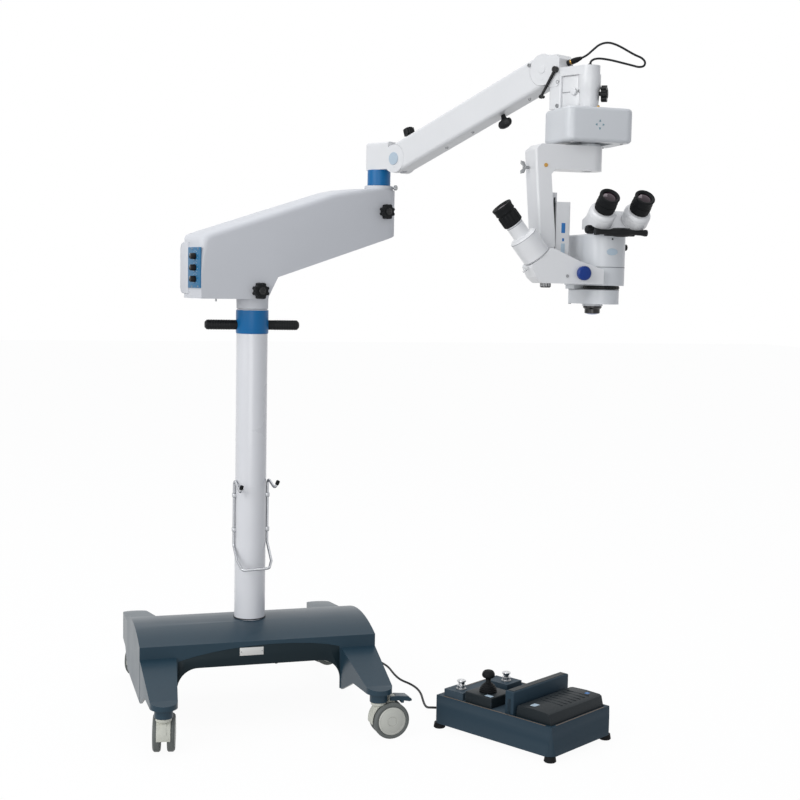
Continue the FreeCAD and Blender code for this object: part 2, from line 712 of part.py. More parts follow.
def make_lower_arm():
    left = -z["arm_left"]
    reach = z["arm_reach"]
    low = base_z + z["arm_bottom"]
    back_top = base_z + z["arm_back_top"]
    front_top = base_z + z["arm_front_top"]
    front_low = base_z + z["arm_front_bottom"]
    side_view = new_body("arm_side_view")
    wide = z["arm_half_width"]
    pad(side_view, "XZ_Plane", -wide, wide * 2, [
        (left, low), (-z["neck_radius"] - 10, low), (z["neck_radius"], low), (z["neck_radius"] + 4, low + 56),
        (reach + z["arm_right"], front_low), (reach + z["arm_right"], front_top), (reach - 90, front_top - 3),
        (reach - 170, front_top - 14), (left + 12, back_top + 16), (left, back_top)])
    plan = new_body("arm_plan_view")
    tip = z["arm_tip_width"]
    pad(plan, "XY_Plane", low - 10, front_top - low + 20, [
        (left, -wide), (40, -wide), (reach, -tip, "round"), (reach, tip), (40, wide), (left, wide)])
    soften(plan, 24, lambda middle, edge: vertical(edge) and abs(middle.x - left.value) < 1)
    return common("arm_shape", side_view, plan)


def make_arm_housing():
    shape = make_lower_arm()
    neck = lathe("arm_neck", box_outline(0, z["neck_radius"], base_z + z["neck_gap"], base_z + 100))
    post = (z["arm_reach"], 0)
    top = base_z + z["arm_front_top"]
    ring_top = top + z["ring_height"]
    white_ring = lathe("arm_ring", [
        (0, top - 4), (z["ring_radius"], top - 4), (z["ring_radius"], top + 9), (z["ring_radius"] - 3, ring_top),
        (0, ring_top)])
    place(white_ring, shift(z["arm_reach"], 0, 0))
    solid = join("arm_solid", [shape, neck, white_ring])
    column_bore = lathe("arm_column_bore", box_outline(
        0, z["spigot_radius"] + z["shaft_gap"], base_z - 1, base_z + z["spigot_length"] + 2))
    post_bore = lathe("arm_post_bore", box_outline(
        0, z["post_shaft_radius"] + z["shaft_gap"], ring_top - z["post_shaft_length"] - 2, top + 40))
    place(post_bore, shift(z["arm_reach"], 0, 0))
    tools = join("arm_bores", [column_bore, post_bore])
    return less("arm_housing", solid, tools)


node("lower_arm_housing", make_arm_housing(), arm)

panel = new_body("control_panel")
pad(panel, "YZ_Plane", -4, 4, box_outline(-52, -10, base_z + 52, base_z + 152))
soften(panel, 5, lambda middle, edge: abs(edge.Length - 4) < 0.1)
node("control_panel", panel, arm * shift(-z["arm_left"], 0, 0))


def small_knob(name, radius, length):
    """A turned knob on the Z axis, its face at the top."""
    return lathe(name, [(0, 0), (radius, 0), (radius, length - 2), (radius - 2, length), (0, length)])


for name, height in (("top", 130), ("middle", 102), ("bottom", 74)):
    node("panel_knob_" + name, small_knob("panel_knob_" + name, 9, 14),
         arm * shift(-z["arm_left"] - 4.3, -31, base_z + height) * turn((0, 1, 0), -90))


def star_knob(name, radius, thick, lobes, stem_radius, stem):
    """A lobed clamp knob on the Z axis with its screw pointing down."""
    body = new_body(name)
    pad(body, "XY_Plane", 0, thick, circle=(0, 0, radius))
    sketch = sketch_in(body, "XY_Plane", thick)
    notch = radius * 0.26
    draw_circle(sketch, radius * 1.07, 0, notch)
    cut = body.newObject("PartDesign::Pocket", name + "_notch")
    cut.Profile = sketch
    cut.Length = val(thick)
    doc.recompute()
    pattern = body.newObject("PartDesign::PolarPattern", name + "_notches")
    pattern.Originals = [cut]
    pattern.Axis = (sketch, ["N_Axis"])
    pattern.Angle = 360
    pattern.Occurrences = lobes
    body.Tip = pattern
    doc.recompute()
    pad(body, "XY_Plane", -stem, stem, circle=(0, 0, stem_radius))
    pad(body, "XY_Plane", thick, 2, circle=(0, 0, radius * 0.5))
    return body


arm_side = arm * shift(-12, -z["arm_half_width"], base_z + 47) * turn((1, 0, 0), 90)
node("arm_lock_knob", star_knob("arm_lock_knob", 21, 16, 8, 6, 0.5), arm_side * shift(0, 0, 0.8))
tip_side = arm * shift(z["arm_reach"] - 6, -z["arm_tip_width"], base_z + 262) * turn((1, 0, 0), 90)
node("post_lock_knob", star_knob("post_lock_knob", 20, 16, 8, 6, 0.5), tip_side * shift(0, 0, 1.2))


# Post and yoke: they turn together on the lower arm
post = arm * shift(z["arm_reach"], 0, base_z + z["arm_front_top"] + z["ring_height"])
post_foot = shift(post.Base.x, post.Base.y, post.Base.z)
shaft_reach = z["post_shaft_length"]
node("swivel_post", lathe("swivel_post", [
    (0, -shaft_reach), (z["post_shaft_radius"] - 2, -shaft_reach), (z["post_shaft_radius"], 2 - shaft_reach),
    (z["post_shaft_radius"], z["gap"]), (z["post_radius"], z["gap"]), (z["post_radius"], z["post_height"]),
    (0, z["post_height"])]), post_foot)
yoke = post_foot * shift(0, 0, z["post_height"]) * turn((0, 0, 1), z["spring_turn"])


def make_yoke():
    """Block on the post with a rounded nose that carries the arm's two pivots."""
    half = z["yoke_half_width"]
    height = z["yoke_height"]
    nose = z["nose_radius"]
    front = z["pivot_out"] - z["nose_back"]
    body = new_body("yoke_block")
    pad(body, "XY_Plane", 0, height, box_outline(-z["post_radius"] - 2, front, -half, half))
    soften(body, 15, lambda middle, edge: vertical(edge) and middle.x < 0)
    soften(body, 6, lambda middle, edge: abs(middle.z - height.value) < 0.1 and middle.x < front.value - 1)
    round_nose = new_body("yoke_nose")
    pad(round_nose, "XZ_Plane", -half, half * 2, circle=(z["pivot_out"], z["pivot_up"], nose))
    solid = join("yoke_solid", [body, round_nose])
    clear = new_body("yoke_slot")
    slot = z["tongue_half_width"] + z["gap"]
    pad(clear, "XZ_Plane", -slot, slot * 2, box_outline(
        z["pivot_out"] - nose + 8, z["pivot_out"] + nose + 2, z["pivot_up"] - nose - 10, z["pivot_up"] + nose + 10))
    return less("yoke_slotted", solid, clear)


def pivot_pin(name, x, height, radius, half):
    pin = new_body(name)
    pad(pin, "XZ_Plane", -half, half * 2, circle=(x, height, radius))
    return pin


def make_arm_yoke():
    block = make_yoke()
    pins = join("yoke_pins", [
        pivot_pin("yoke_pin_upper", z["pivot_out"], z["pivot_up"], z["pin_radius"], z["yoke_half_width"] + 1.5),
        pivot_pin("yoke_pin_lower", z["pivot_out"], z["pivot_up"] - z["link_drop"], z["pin_radius"] - 2,
                  z["yoke_half_width"] + 0.5)])
    return join("yoke_with_pins", [block, pins])


node("arm_yoke", make_arm_yoke(), yoke)


# Spring arm: cover, lower link and spring cartridge between the two pivots
beam = yoke * shift(z["pivot_out"], 0, z["pivot_up"]) * turn((0, 1, 0), -z["beam_pitch"])
tip_x = z["beam_length"].value * math.cos(math.radians(z["beam_pitch"].value))
tip_z = z["beam_length"].value * math.sin(math.radians(z["beam_pitch"].value))
tip = yoke * shift(z["pivot_out"], 0, z["pivot_up"]) * shift(tip_x, 0, tip_z)


def make_arm_cover():
    """Long cover with hollow ends, a tongue at each pivot and a cavity for link and spring."""
    length = z["beam_length"]
    high = z["beam_half_height"]
    half = z["yoke_half_width"]
    body = new_body("cover_beam")
    pad(body, "XZ_Plane", -half, half * 2, box_outline(10, length - 10, -high, high))
    for end in (0, length):
        pocket(body, "XZ_Plane", -half - 1, half * 2 + 2, circle=(end, 0, z["nose_radius"] + z["gap"] * 2))
    soften(body, 9, lambda middle, edge: abs(middle.x - length.value / 2) < 1 and edge.Length > 300)
    wall = z["beam_wall"]
    pocket(body, "XZ_Plane", wall - half, (half - wall) * 2, [
        (high - 20, -high + wall), (length - high + 20, -high + wall), (length - high + 20, high - wall),
        (high - 20, high - wall)])
    tongue = z["tongue_half_width"]
    pieces = [body]
    for name, x0, x1, end in (("near", 0, 74, 0), ("far", -74, 0, length)):
        lug = new_body("tongue_" + name)
        pad(lug, "XZ_Plane", -tongue, tongue * 2, box_outline(as_size(end) + x0, as_size(end) + x1, -4, 12))
        pad(lug, "XZ_Plane", -tongue, tongue * 2, circle=(end, 0, 12))
        far = as_size(end) + (58 if x1 else -58)
        pad(lug, "XZ_Plane", -half + 2, half * 2 - 4, box_outline(far - 6, far + 6, -4, 32))
        pocket(lug, "XZ_Plane", -half, half * 2, circle=(end, 0, z["pin_radius"] + z["shaft_gap"]))
        pieces.append(lug)
    return join("arm_cover_solid", pieces)


node("arm_cover", make_arm_cover(), beam)
link = new_body("lower_link")
link_half = 6
pad(link, "XZ_Plane", -link_half, link_half * 2, box_outline(0, z["beam_length"], -4, 2))
for end in (0, z["beam_length"]):
    pad(link, "XZ_Plane", -link_half, link_half * 2, circle=(end, 0, 8))
for end in (0, z["beam_length"]):
    pocket(link, "XZ_Plane", -link_half - 1, link_half * 2 + 2,
           circle=(end, 0, z["pin_radius"] - 2 + z["shaft_gap"]))
link_spot = yoke * shift(z["pivot_out"], 0, z["pivot_up"] - z["link_drop"])
node("lower_link", link, link_spot * turn((0, 1, 0), -z["beam_pitch"]))
spring = lathe("balance_spring", [
    (0, 64), (5, 64), (5, 90), (9, 90), (9, 250), (7, 252), (7, 400), (4, 402), (4, z["beam_length"] - 64),
    (0, z["beam_length"] - 64)])
node("balance_spring", spring, beam * shift(0, 0, 22) * turn((0, 1, 0), 90))
node("height_lock_knob", star_knob("height_lock_knob", 15, 15, 8, 5, 9),
     beam * shift(52, 0, z["beam_half_height"] + 9.3))
wing = new_body("tension_knob")
pad(wing, "XY_Plane", 0, 9, circle=(0, 0, 9))
pad(wing, "XY_Plane", 9, 22, [(-20, -3.5), (20, -3.5), (20, 3.5), (-20, 3.5)])
pad(wing, "XY_Plane", -4, 4, circle=(0, 0, 4))
node("tension_knob", wing, beam * shift(365, 0, -z["beam_half_height"] - 4.3) * turn((1, 0, 0), 180))


# Arm end: block on the two pivots, plate and hub that hold the head's spindle
def make_arm_end():
    half = z["yoke_half_width"]
    reach = z["tip_reach"]
    back = z["nose_back"]
    end = z["tip_block_end"]
    body = new_body("end_block")
    pad(body, "XZ_Plane", -half, half * 2, [
        (back, -z["link_drop"] - 22), (end - 6, -z["link_drop"] - 22), (end, -36), (end, 22), (end - 9, 32),
        (back, 32)])
    lower = new_body("end_lower")
    pad(lower, "XZ_Plane", -half + 2, half * 2 - 4, box_outline(back, end + 5, 6 - z["xy_drop"], -20))
    soften(lower, 4, lambda middle, edge: vertical(edge))
    plate = new_body("end_plate")
    pad(plate, "XY_Plane", -20, 20, [
        (end - 10, -24), (reach, -24, "round"), (reach, 24), (end - 10, 24)])
    hub = lathe("end_hub", [
        (0, -20), (0, 4 - z["xy_drop"]), (19, 4 - z["xy_drop"]), (19, -52), (24, -48), (24, -20)])
    place(hub, shift(reach, 0, 0))
    lug = new_body("end_lug")
    pad(lug, "XY_Plane", -76, 20, box_outline(end, reach, -12, 12))
    nose = new_body("end_nose")
    pad(nose, "XZ_Plane", -half, half * 2, circle=(0, 0, z["nose_radius"]))
    fill = new_body("end_fill")
    pad(fill, "XZ_Plane", -half, half * 2, box_outline(10, back + 2, -24, 24))
    solid = join("end_solid", [body, lower, plate, hub, lug, nose, fill])
    slot = z["tongue_half_width"] + z["gap"]
    clear = new_body("end_slot")
    pad(clear, "XZ_Plane", -slot, slot * 2, box_outline(
        -z["nose_radius"] - 5, z["nose_radius"] - 14, -z["nose_radius"] - 10, z["nose_radius"] + 5))
    spindle_bore = lathe("end_spindle_bore", box_outline(
        0, z["spindle_radius"] + z["shaft_gap"], -z["xy_drop"], -24))
    place(spindle_bore, shift(reach, 0, 0))
    cut = less("end_cut", solid, join("end_tools", [clear, spindle_bore]))
    pins = join("end_pins", [
        pivot_pin("end_pin_upper", 0, 0, z["pin_radius"], half + 1.5),
        pivot_pin("end_pin_lower", 0, -z["link_drop"], z["pin_radius"] - 2, half + 0.5)])
    head = join("end_with_pins", [cut, pins])
    socket = lathe("lead_socket", [
        (0, 0), (7, 0), (7, 6), (5.5, 7), (5.5, 12), (6.5, 13), (6.5, 20), (3.2, 40), (0, 40)])
    place(socket, shift(end, 7, 14) * turn((0, 1, 0), 78))
    return group("end_and_socket", [head, socket])


node("arm_end_head", make_arm_end(), tip)
socket_end = (shift(z["tip_block_end"], 7, 14) * turn((0, 1, 0), 78)).multVec(Vector(0, 0, 40))
reach = z["tip_reach"].value
along = (0.703, 0.711)
way_out = turn((0, 1, 0), 78).multVec(Vector(0, 0, 14))
LEAD = [tuple(socket_end), tuple(socket_end + way_out), (122, 11, 39)]
for out, up in ((21, 50), (41, 55), (64, 48), (86, 36), (105, 26), (119, 21), (128, 12), (126, 2), (114, -1),
                (98, 3), (76, 8), (50, 14), (22, 18), (7, 15.5), (0, 8.5)):
    LEAD.append((reach + along[0] * out, along[1] * out, up))
LEAD.append((reach, 0, 0))
node("head_cable", tube_along("head_cable", LEAD, z["lead_radius"]), tip)
lever = new_body("clamp_lever")
pad(lever, "XZ_Plane", 0, 9, circle=(0, 0, 7))
pad(lever, "XZ_Plane", 3, 4, [(-2, -5), (3, -3), (-38, -61), (-42, -58)])
pad(lever, "XZ_Plane", 1.5, 7, circle=(-40, -60, 4.5))
node("clamp_lever", lever, tip * shift(44, -z["yoke_half_width"] - 0.3, -4))
knob_turn = turn((0, 0, 1), 30) * shift(19.3, 0, -64) * turn((0, 1, 0), 90)
node("head_lock_knob", star_knob("head_lock_knob", 19, 13, 7, 5, 9),
     tip * shift(z["tip_reach"], 0, 0) * knob_turn * shift(0, 0, 9))


# Head: cross slides under the spindle
head_base = tip.multVec(Vector(z["tip_reach"].value, 0, 0))
head = shift(head_base.x, head_base.y, head_base.z)
xy_top = -z["xy_drop"]
xy_low = xy_top - z["xy_height"]
half_w = z["xy_width"] / 2
half_d = z["xy_depth"] / 2
wall = z["xy_wall"]
housing = new_body("xy_housing")
pad(housing, "XY_Plane", xy_low, z["xy_height"], box_outline(-half_w, half_w, -half_d, half_d))
soften(housing, 22, lambda middle, edge: vertical(edge))
soften(housing, 9, lambda middle, edge: abs(middle.z - xy_top.value) < 0.1 or abs(middle.z - xy_low.value) < 0.1)
pocket(housing, "XY_Plane", xy_low + wall, z["xy_height"] - wall * 2,
       box_outline(-half_w + wall, half_w - wall, -half_d + wall, half_d - wall))
opening = z["xy_travel"] + 23
pocket(housing, "XY_Plane", xy_low - 1, wall + 2, box_outline(-opening, opening, -opening, opening))
pad(housing, "XY_Plane", xy_top - 2, z["xy_drop"] - 24, circle=(0, 0, z["spindle_radius"]))
node("xy_housing", housing, head)
cross_top = xy_top - wall - z["gap"]
cross_half = half_w - wall - z["xy_travel"] - 1
cross = new_body("xy_cross_carriage")
pad(cross, "XY_Plane", cross_top - 24, 24, box_outline(
    -cross_half, cross_half, -half_d + wall + z["gap"], half_d - wall - z["gap"]))
node("xy_cross_carriage", cross, head)
lower_half = half_d - wall - z["xy_travel"] - 1
lower_top = cross_top - 24 - z["gap"]
focus_top = -z["focus_drop"]
lower_plate = new_body("xy_lower_plate")
pad(lower_plate, "XY_Plane", xy_low + wall + z["gap"], lower_top - xy_low - wall - z["gap"],
    box_outline(-32, 32, -lower_half, lower_half))
pad(lower_plate, "XY_Plane", xy_low - 0.8, wall + 4, circle=(0, 0, 20))
pad(lower_plate, "XY_Plane", focus_top + z["gap"], xy_low - focus_top - 1, circle=(0, 0, 30))
pad(lower_plate, "XY_Plane", focus_top - 44, 46, circle=(0, 0, 12))
node("xy_lower_plate", lower_plate, head)


# Focus arm with its upright rail, carriage with the tilt fork
focus_low = focus_top - z["focus_height"]
focus_arm = new_body("focus_arm")
pad(focus_arm, "XZ_Plane", -34, 68, [
    (-126, -427), (-97, -427), (-89, -418), (-91, -380), (-103, focus_low - 12), (-92, focus_low), (0, focus_low),
    (0, focus_top), (-128, focus_top), (-144, focus_top - 14), (-141, focus_low)])
soften(focus_arm, 6, lambda middle, edge: middle.x < -110 and edge.Length > 25 and abs(abs(middle.y) - 34) < 0.1)
pad(focus_arm, "XY_Plane", focus_low, z["focus_height"], circle=(0, 0, 34))
pocket(focus_arm, "XY_Plane", focus_low - 1, z["focus_height"] + 2, circle=(0, 0, 12 + z["shaft_gap"]))
pad(focus_arm, "XY_Plane", -424, 130, box_outline(-104, -78, -11, 11))
node("focus_arm", focus_arm, head)
tilt = (-z["tilt_left"], -z["tilt_drop"])
carriage = new_body("focus_carriage")
pad(carriage, "XY_Plane", -453, 137, box_outline(-86, -50, -29, 29))
soften(carriage, 5, lambda middle, edge: vertical(edge) and middle.x > -60)
pocket(carriage, "XY_Plane", -454, 139, box_outline(-87, -77.7, -11.3, 11.3))
for ear_start in (21, -29):
    pad(carriage, "XZ_Plane", ear_start, 8, [
        (tilt[0] - z["tilt_radius"], tilt[1], "round"), (tilt[0] + z["tilt_radius"], tilt[1]), (-52, -450),
        (-84, -450)])
pocket(carriage, "XZ_Plane", -30, 60, circle=tilt + (5 + z["shaft_gap"],))
node("focus_carriage", carriage, head)


# Optics body, objective, magnification ring and tilt knob
axis_x = z["optic_axis"]
front_y = -z["optic_front"]
half_o = z["optic_half_width"]
top_o = -z["optic_top"]
ring_top = top_o - z["optic_upper"] - 43
ring_low = ring_top - 9
low_o = ring_low - 34


def optic_plan(half):
    return [(axis_x - half, front_y, "round"), (axis_x + half, front_y),
            (axis_x + half, z["optic_back"]), (axis_x - half, z["optic_back"])]


optics = new_body("optics_body")
pad(optics, "XY_Plane", ring_top, top_o - ring_top, optic_plan(half_o))
soften(optics, 5, lambda middle, edge: abs(middle.z - top_o.value) < 0.1)
pad(optics, "XY_Plane", ring_low, ring_top - ring_low + 1, box_outline(-24, 74, 0, z["optic_back"]))
pad(optics, "XY_Plane", ring_low, ring_top - ring_low + 1, circle=(axis_x, front_y, 30))
pad(optics, "XY_Plane", low_o, 34, optic_plan(41))
pad(optics, "XY_Plane", low_o - 5, 6, circle=(axis_x, 0, 24))
pad(optics, "XZ_Plane", -20.7, 41.4, [
    (tilt[0], tilt[1] - z["tilt_radius"]), (-25, tilt[1] - z["tilt_radius"]), (-25, tilt[1] + z["tilt_radius"]),
    (tilt[0], tilt[1] + z["tilt_radius"], "round")])
pocket(optics, "XZ_Plane", -22, 44, circle=tilt + (5 + z["shaft_gap"],))
pad(optics, "XY_Plane", top_o, 4, circle=(axis_x, front_y, 36))
node("optics_body", optics, head)
objective = lathe("objective_mount", [
    (8, 0), (22, 0), (22, -4), (z["objective_radius"], -8), (z["objective_radius"], -17),
    (z["objective_radius"] - 2, -18), (8, -18)])
glass = lathe("objective_lens", [(0, -14), (7.9, -14), (7.9, -2), (0, -2)])
node("objective", group("objective_pair", [objective, glass]), head * shift(axis_x, 0, low_o - 5))
mag = lathe("magnification_knob", [
    (30 + z["gap"], ring_low + z["gap"]), (40, ring_low + z["gap"]), (41, ring_low + 1.5), (41, ring_top - 1.5),
    (40, ring_top - z["gap"]), (30 + z["gap"], ring_top - z["gap"])])
node("magnification_knob", mag, head * shift(axis_x, front_y, 0))
tilt_knob = lathe("tilt_knob", [
    (0, 14), (0, -143), (5, -143), (5, 0), (14, 0), (z["tilt_radius"], 2), (z["tilt_radius"], 11), (13, 14)])
assist_y = -z["assist_front"]
node("tilt_knob", tilt_knob, head * shift(tilt[0], assist_y - 32, tilt[1]) * turn((1, 0, 0), 90))


# Binocular head
bino = head * shift(axis_x, front_y, top_o + 4)
plane_y, plane_z = -69, 25
bino_body = new_body("bino_block")
pad(bino_body, "YZ_Plane", -40, 80, [
    (34, 8), (-44, 8), (-46, -3), (-88, -3), (-92.6, 0.8), (-44.6, 48.8), (-10, 50), (34, 32)])
soften(bino_body, 6, lambda middle, edge: abs(abs(middle.x) - 40) < 0.1 and middle.z > 9)
pocket(bino_body, "YZ_Plane", -41, 82, circle=(-57, 5, 5 + z["shaft_gap"]))
bino_ring = lathe("bino_ring", [(0, 0), (38, 0), (38, 8), (34, 10), (0, 10)])
node("binocular_housing", join("binocular_joined", [bino_body, bino_ring]), bino)
bar = lathe("pd_knobs", [
    (0, -69), (8, -69), (9.5, -66), (9.5, -52), (8, -50), (5, -50), (5, 50), (8, 50), (9.5, 52), (9.5, 66),
    (8, 69), (0, 69)])
node("pd_knobs", bar, bino * shift(0, -57, 5) * turn((0, 1, 0), 90))
eye = z["eye_radius"]
for name, side in (("eyepiece_left", -1), ("eyepiece_right", 1)):
    tube = lathe(name + "_tube", [
        (0, 0), (29, 0), (31, 2), (31, 26), (27, 32), (17, 34), (17, 38), (eye - 1, 38), (eye, 40), (eye, 62),
        (eye - 2, 66), (eye, 76), (eye - 3, 78), (15, 72), (0, 72)])
    node(name, tube, bino * shift(z["eye_spacing"] / 2 * side, plane_y, plane_z) * turn((1, 0, 0), z["eye_tilt"]))


# Assistant's tube on the left
assist_x, assist_z = -153, -443
assist_block = new_body("assist_block")
pad(assist_block, "XZ_Plane", z["assist_front"] - 30, 60, [
    (-177, -465), (-165, -490), (-150, -503), (0, -503), (0, -470), (-60, -452), (-128, -423)])
soften(assist_block, 8, lambda middle, edge: abs(edge.Length - 60) < 0.1 and middle.x < -60)
optics_copy = new_body("optics_clear")
pad(optics_copy, "XY_Plane", -560, 200, optic_plan(half_o))
shaft_clear = new_body("assist_bore")
pad(shaft_clear, "XZ_Plane", 40, 90, circle=tilt + (5.4,))
assist_cut = less("assist_cut", assist_block, join("assist_tools", [optics_copy, shaft_clear]))
barrel = lathe("assist_barrel", [(0, 0), (33, 0), (33, 54), (29, 58), (20, 60), (20, 92), (0, 92)])
assist_tube_place = shift(assist_x, assist_y, assist_z) * turn((0, 1, 0), -z["assist_tilt"])
place(barrel, assist_tube_place)
under_knob = lathe("assist_under_knob", [(0, 0), (10, 0), (12, 2), (12, 9), (0, 9)])
place(under_knob, shift(-130, assist_y, -512))
node("assistant_tube", group("assist_parts", [join("assist_joined", [assist_cut, barrel]), under_knob]), head)
assist_eye = lathe("assistant_eyepiece", [
    (0, 92.3), (eye - 1, 92.3), (eye, 94), (eye, 126), (eye - 2, 130), (eye + 1, 140), (eye - 3, 142),
    (14, 136), (0, 136)])
node("assistant_eyepiece", assist_eye, head * assist_tube_place)


# Foot control cable: gland at the base, coil behind the base, run to the foot control
cord_z = z["cord_radius"].value + 0.05
BASE_RUN = [
    (120, 162, 178), (120, 190, 178), (121, 226, 154), (122, 256, 105), (125, 280, 58), (130, 308, 22),
    (146, 345, 5), (166, 388, cord_z), (192, 430, cord_z), (226, 452, cord_z), (257.95, 452, cord_z)]
FLOOR_RUN = [
    (342.05, 452, cord_z), (374, 452, cord_z), (406, 424, cord_z), (430, 374, cord_z), (438, 325, cord_z),
    (450, 282, cord_z), (455, 240, cord_z), (452, 196, cord_z), (450, 150, cord_z), (453, 108, cord_z),
    (468, 70, cord_z), (474, 26, cord_z), (470, -22, cord_z), (459, -70, cord_z), (449, -118, cord_z),
    (445, -152, 7), (447, -184, 17), tuple(control.multVec(Vector(-228, -56, 24))),
    tuple(control.multVec(Vector(-198.5, -56, 24)))]
base_run = tube_along("foot_cable_base", BASE_RUN, z["cord_radius"])
floor_run = tube_along("foot_cable_floor", FLOOR_RUN, z["cord_radius"])
node("foot_cable", group("foot_cable_pair", [base_run, floor_run]))
coil = lathe("foot_cable_coil", [(24, 0), (40, 0), (42, 2), (42, 10), (40, 12), (24, 12)])
node("foot_cable_coil", coil, shift(300, 452, 0))


doc.recompute()
os.makedirs("parts", exist_ok=True)
for thing in doc.Objects:
    if "Invalid" in thing.State or "Error" in thing.State:
        raise RuntimeError(f"{thing.Label} failed: {thing.State}")
for piece in nodes:
    if piece.Shape.isNull() or not piece.Shape.isValid():
        raise RuntimeError(piece.Label + ": no valid shape")
for piece in nodes:
    piece.Shape.exportStep(f"parts/{piece.Label}.step")
print(len(nodes), "sub-parts")
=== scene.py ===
"""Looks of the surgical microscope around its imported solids. Lengths are in metres, angles in degrees."""
import math

import bmesh
import bpy
from mathutils import Matrix, Vector


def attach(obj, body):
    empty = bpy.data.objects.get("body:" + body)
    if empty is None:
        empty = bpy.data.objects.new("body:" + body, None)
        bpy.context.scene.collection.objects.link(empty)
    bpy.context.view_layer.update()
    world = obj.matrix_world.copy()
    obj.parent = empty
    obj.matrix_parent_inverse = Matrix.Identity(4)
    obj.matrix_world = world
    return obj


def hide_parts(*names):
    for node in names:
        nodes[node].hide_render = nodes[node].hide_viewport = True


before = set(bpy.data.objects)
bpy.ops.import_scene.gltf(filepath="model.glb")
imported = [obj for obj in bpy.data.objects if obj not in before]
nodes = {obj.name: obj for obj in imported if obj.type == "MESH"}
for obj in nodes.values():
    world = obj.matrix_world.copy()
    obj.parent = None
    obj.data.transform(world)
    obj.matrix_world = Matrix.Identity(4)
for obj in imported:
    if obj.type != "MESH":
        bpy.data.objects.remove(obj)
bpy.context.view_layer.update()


def shift(x, y, z):
    return Matrix.Translation((x, y, z))


def turn(axis, degrees):
    return Matrix.Rotation(math.radians(degrees), 4, axis)


# Axes of turned pieces and plates, which are drawn upright
FRONT = turn("X", 90)
BACK = turn("X", -90)
UNDER = turn("X", 180)

# Sizes that several pieces share
BEAM_PITCH = 20.2
BEAM_LENGTH = 0.530
HUB_REACH = 0.122  # from the pivot at the arm end to the spindle of the head
BEAM_HALF_HEIGHT = 0.0379
ARM_HALF_WIDTH = 0.059
POST_REACH = 0.380
POST_TOP = 1.373
WHEEL_TRAIL = 0.028
WHEEL_RADIUS = 0.045
CUP_RADIUS = 0.0235
PANEL_KNOBS = {"top": 0.130, "middle": 0.102, "bottom": 0.074}
EDGE_ANGLE = 32  # edges sharper than this are rounded

# The frames in which the sub-parts were drawn
ARM = turn("Z", 17)
POST = ARM @ Vector((POST_REACH, 0, POST_TOP))
YOKE = shift(*POST) @ shift(0, 0, 0.042) @ turn("Z", -62.3)
PIVOT = YOKE @ shift(0.082, 0, 0.026)
BEAM = PIVOT @ turn("Y", -BEAM_PITCH)
PITCH = math.radians(BEAM_PITCH)
TIP = PIVOT @ shift(BEAM_LENGTH * math.cos(PITCH), 0, BEAM_LENGTH * math.sin(PITCH))
HUB = TIP @ shift(HUB_REACH, 0, 0)
HEAD = shift(*(TIP @ Vector((HUB_REACH, 0, 0))))
BINO = HEAD @ shift(0.025, -0.045, -0.385)
ASSIST = HEAD @ shift(-0.153, -0.080, -0.443) @ turn("Y", -39)
CONTROL = shift(0.619, -0.378, 0) @ turn("Z", -59.5)
CONTROL_TOP = 0.084
CASTORS = {"front_left": (-0.262, -0.322, 80), "front_right": (0.262, -0.322, 2), "rear_left": (-0.262, 0.322, 60),
           "rear_right": (0.262, 0.322, 20)}


# Materials
def linear(value):
    return value / 12.92 if value <= 0.04045 else ((value + 0.055) / 1.055) ** 2.4


def rgb(*levels):
    return tuple(linear(level / 255) for level in levels) + (1,)


def scaled(color, factor):
    return tuple(min(level * factor, 1) for level in color[:3]) + (1,)


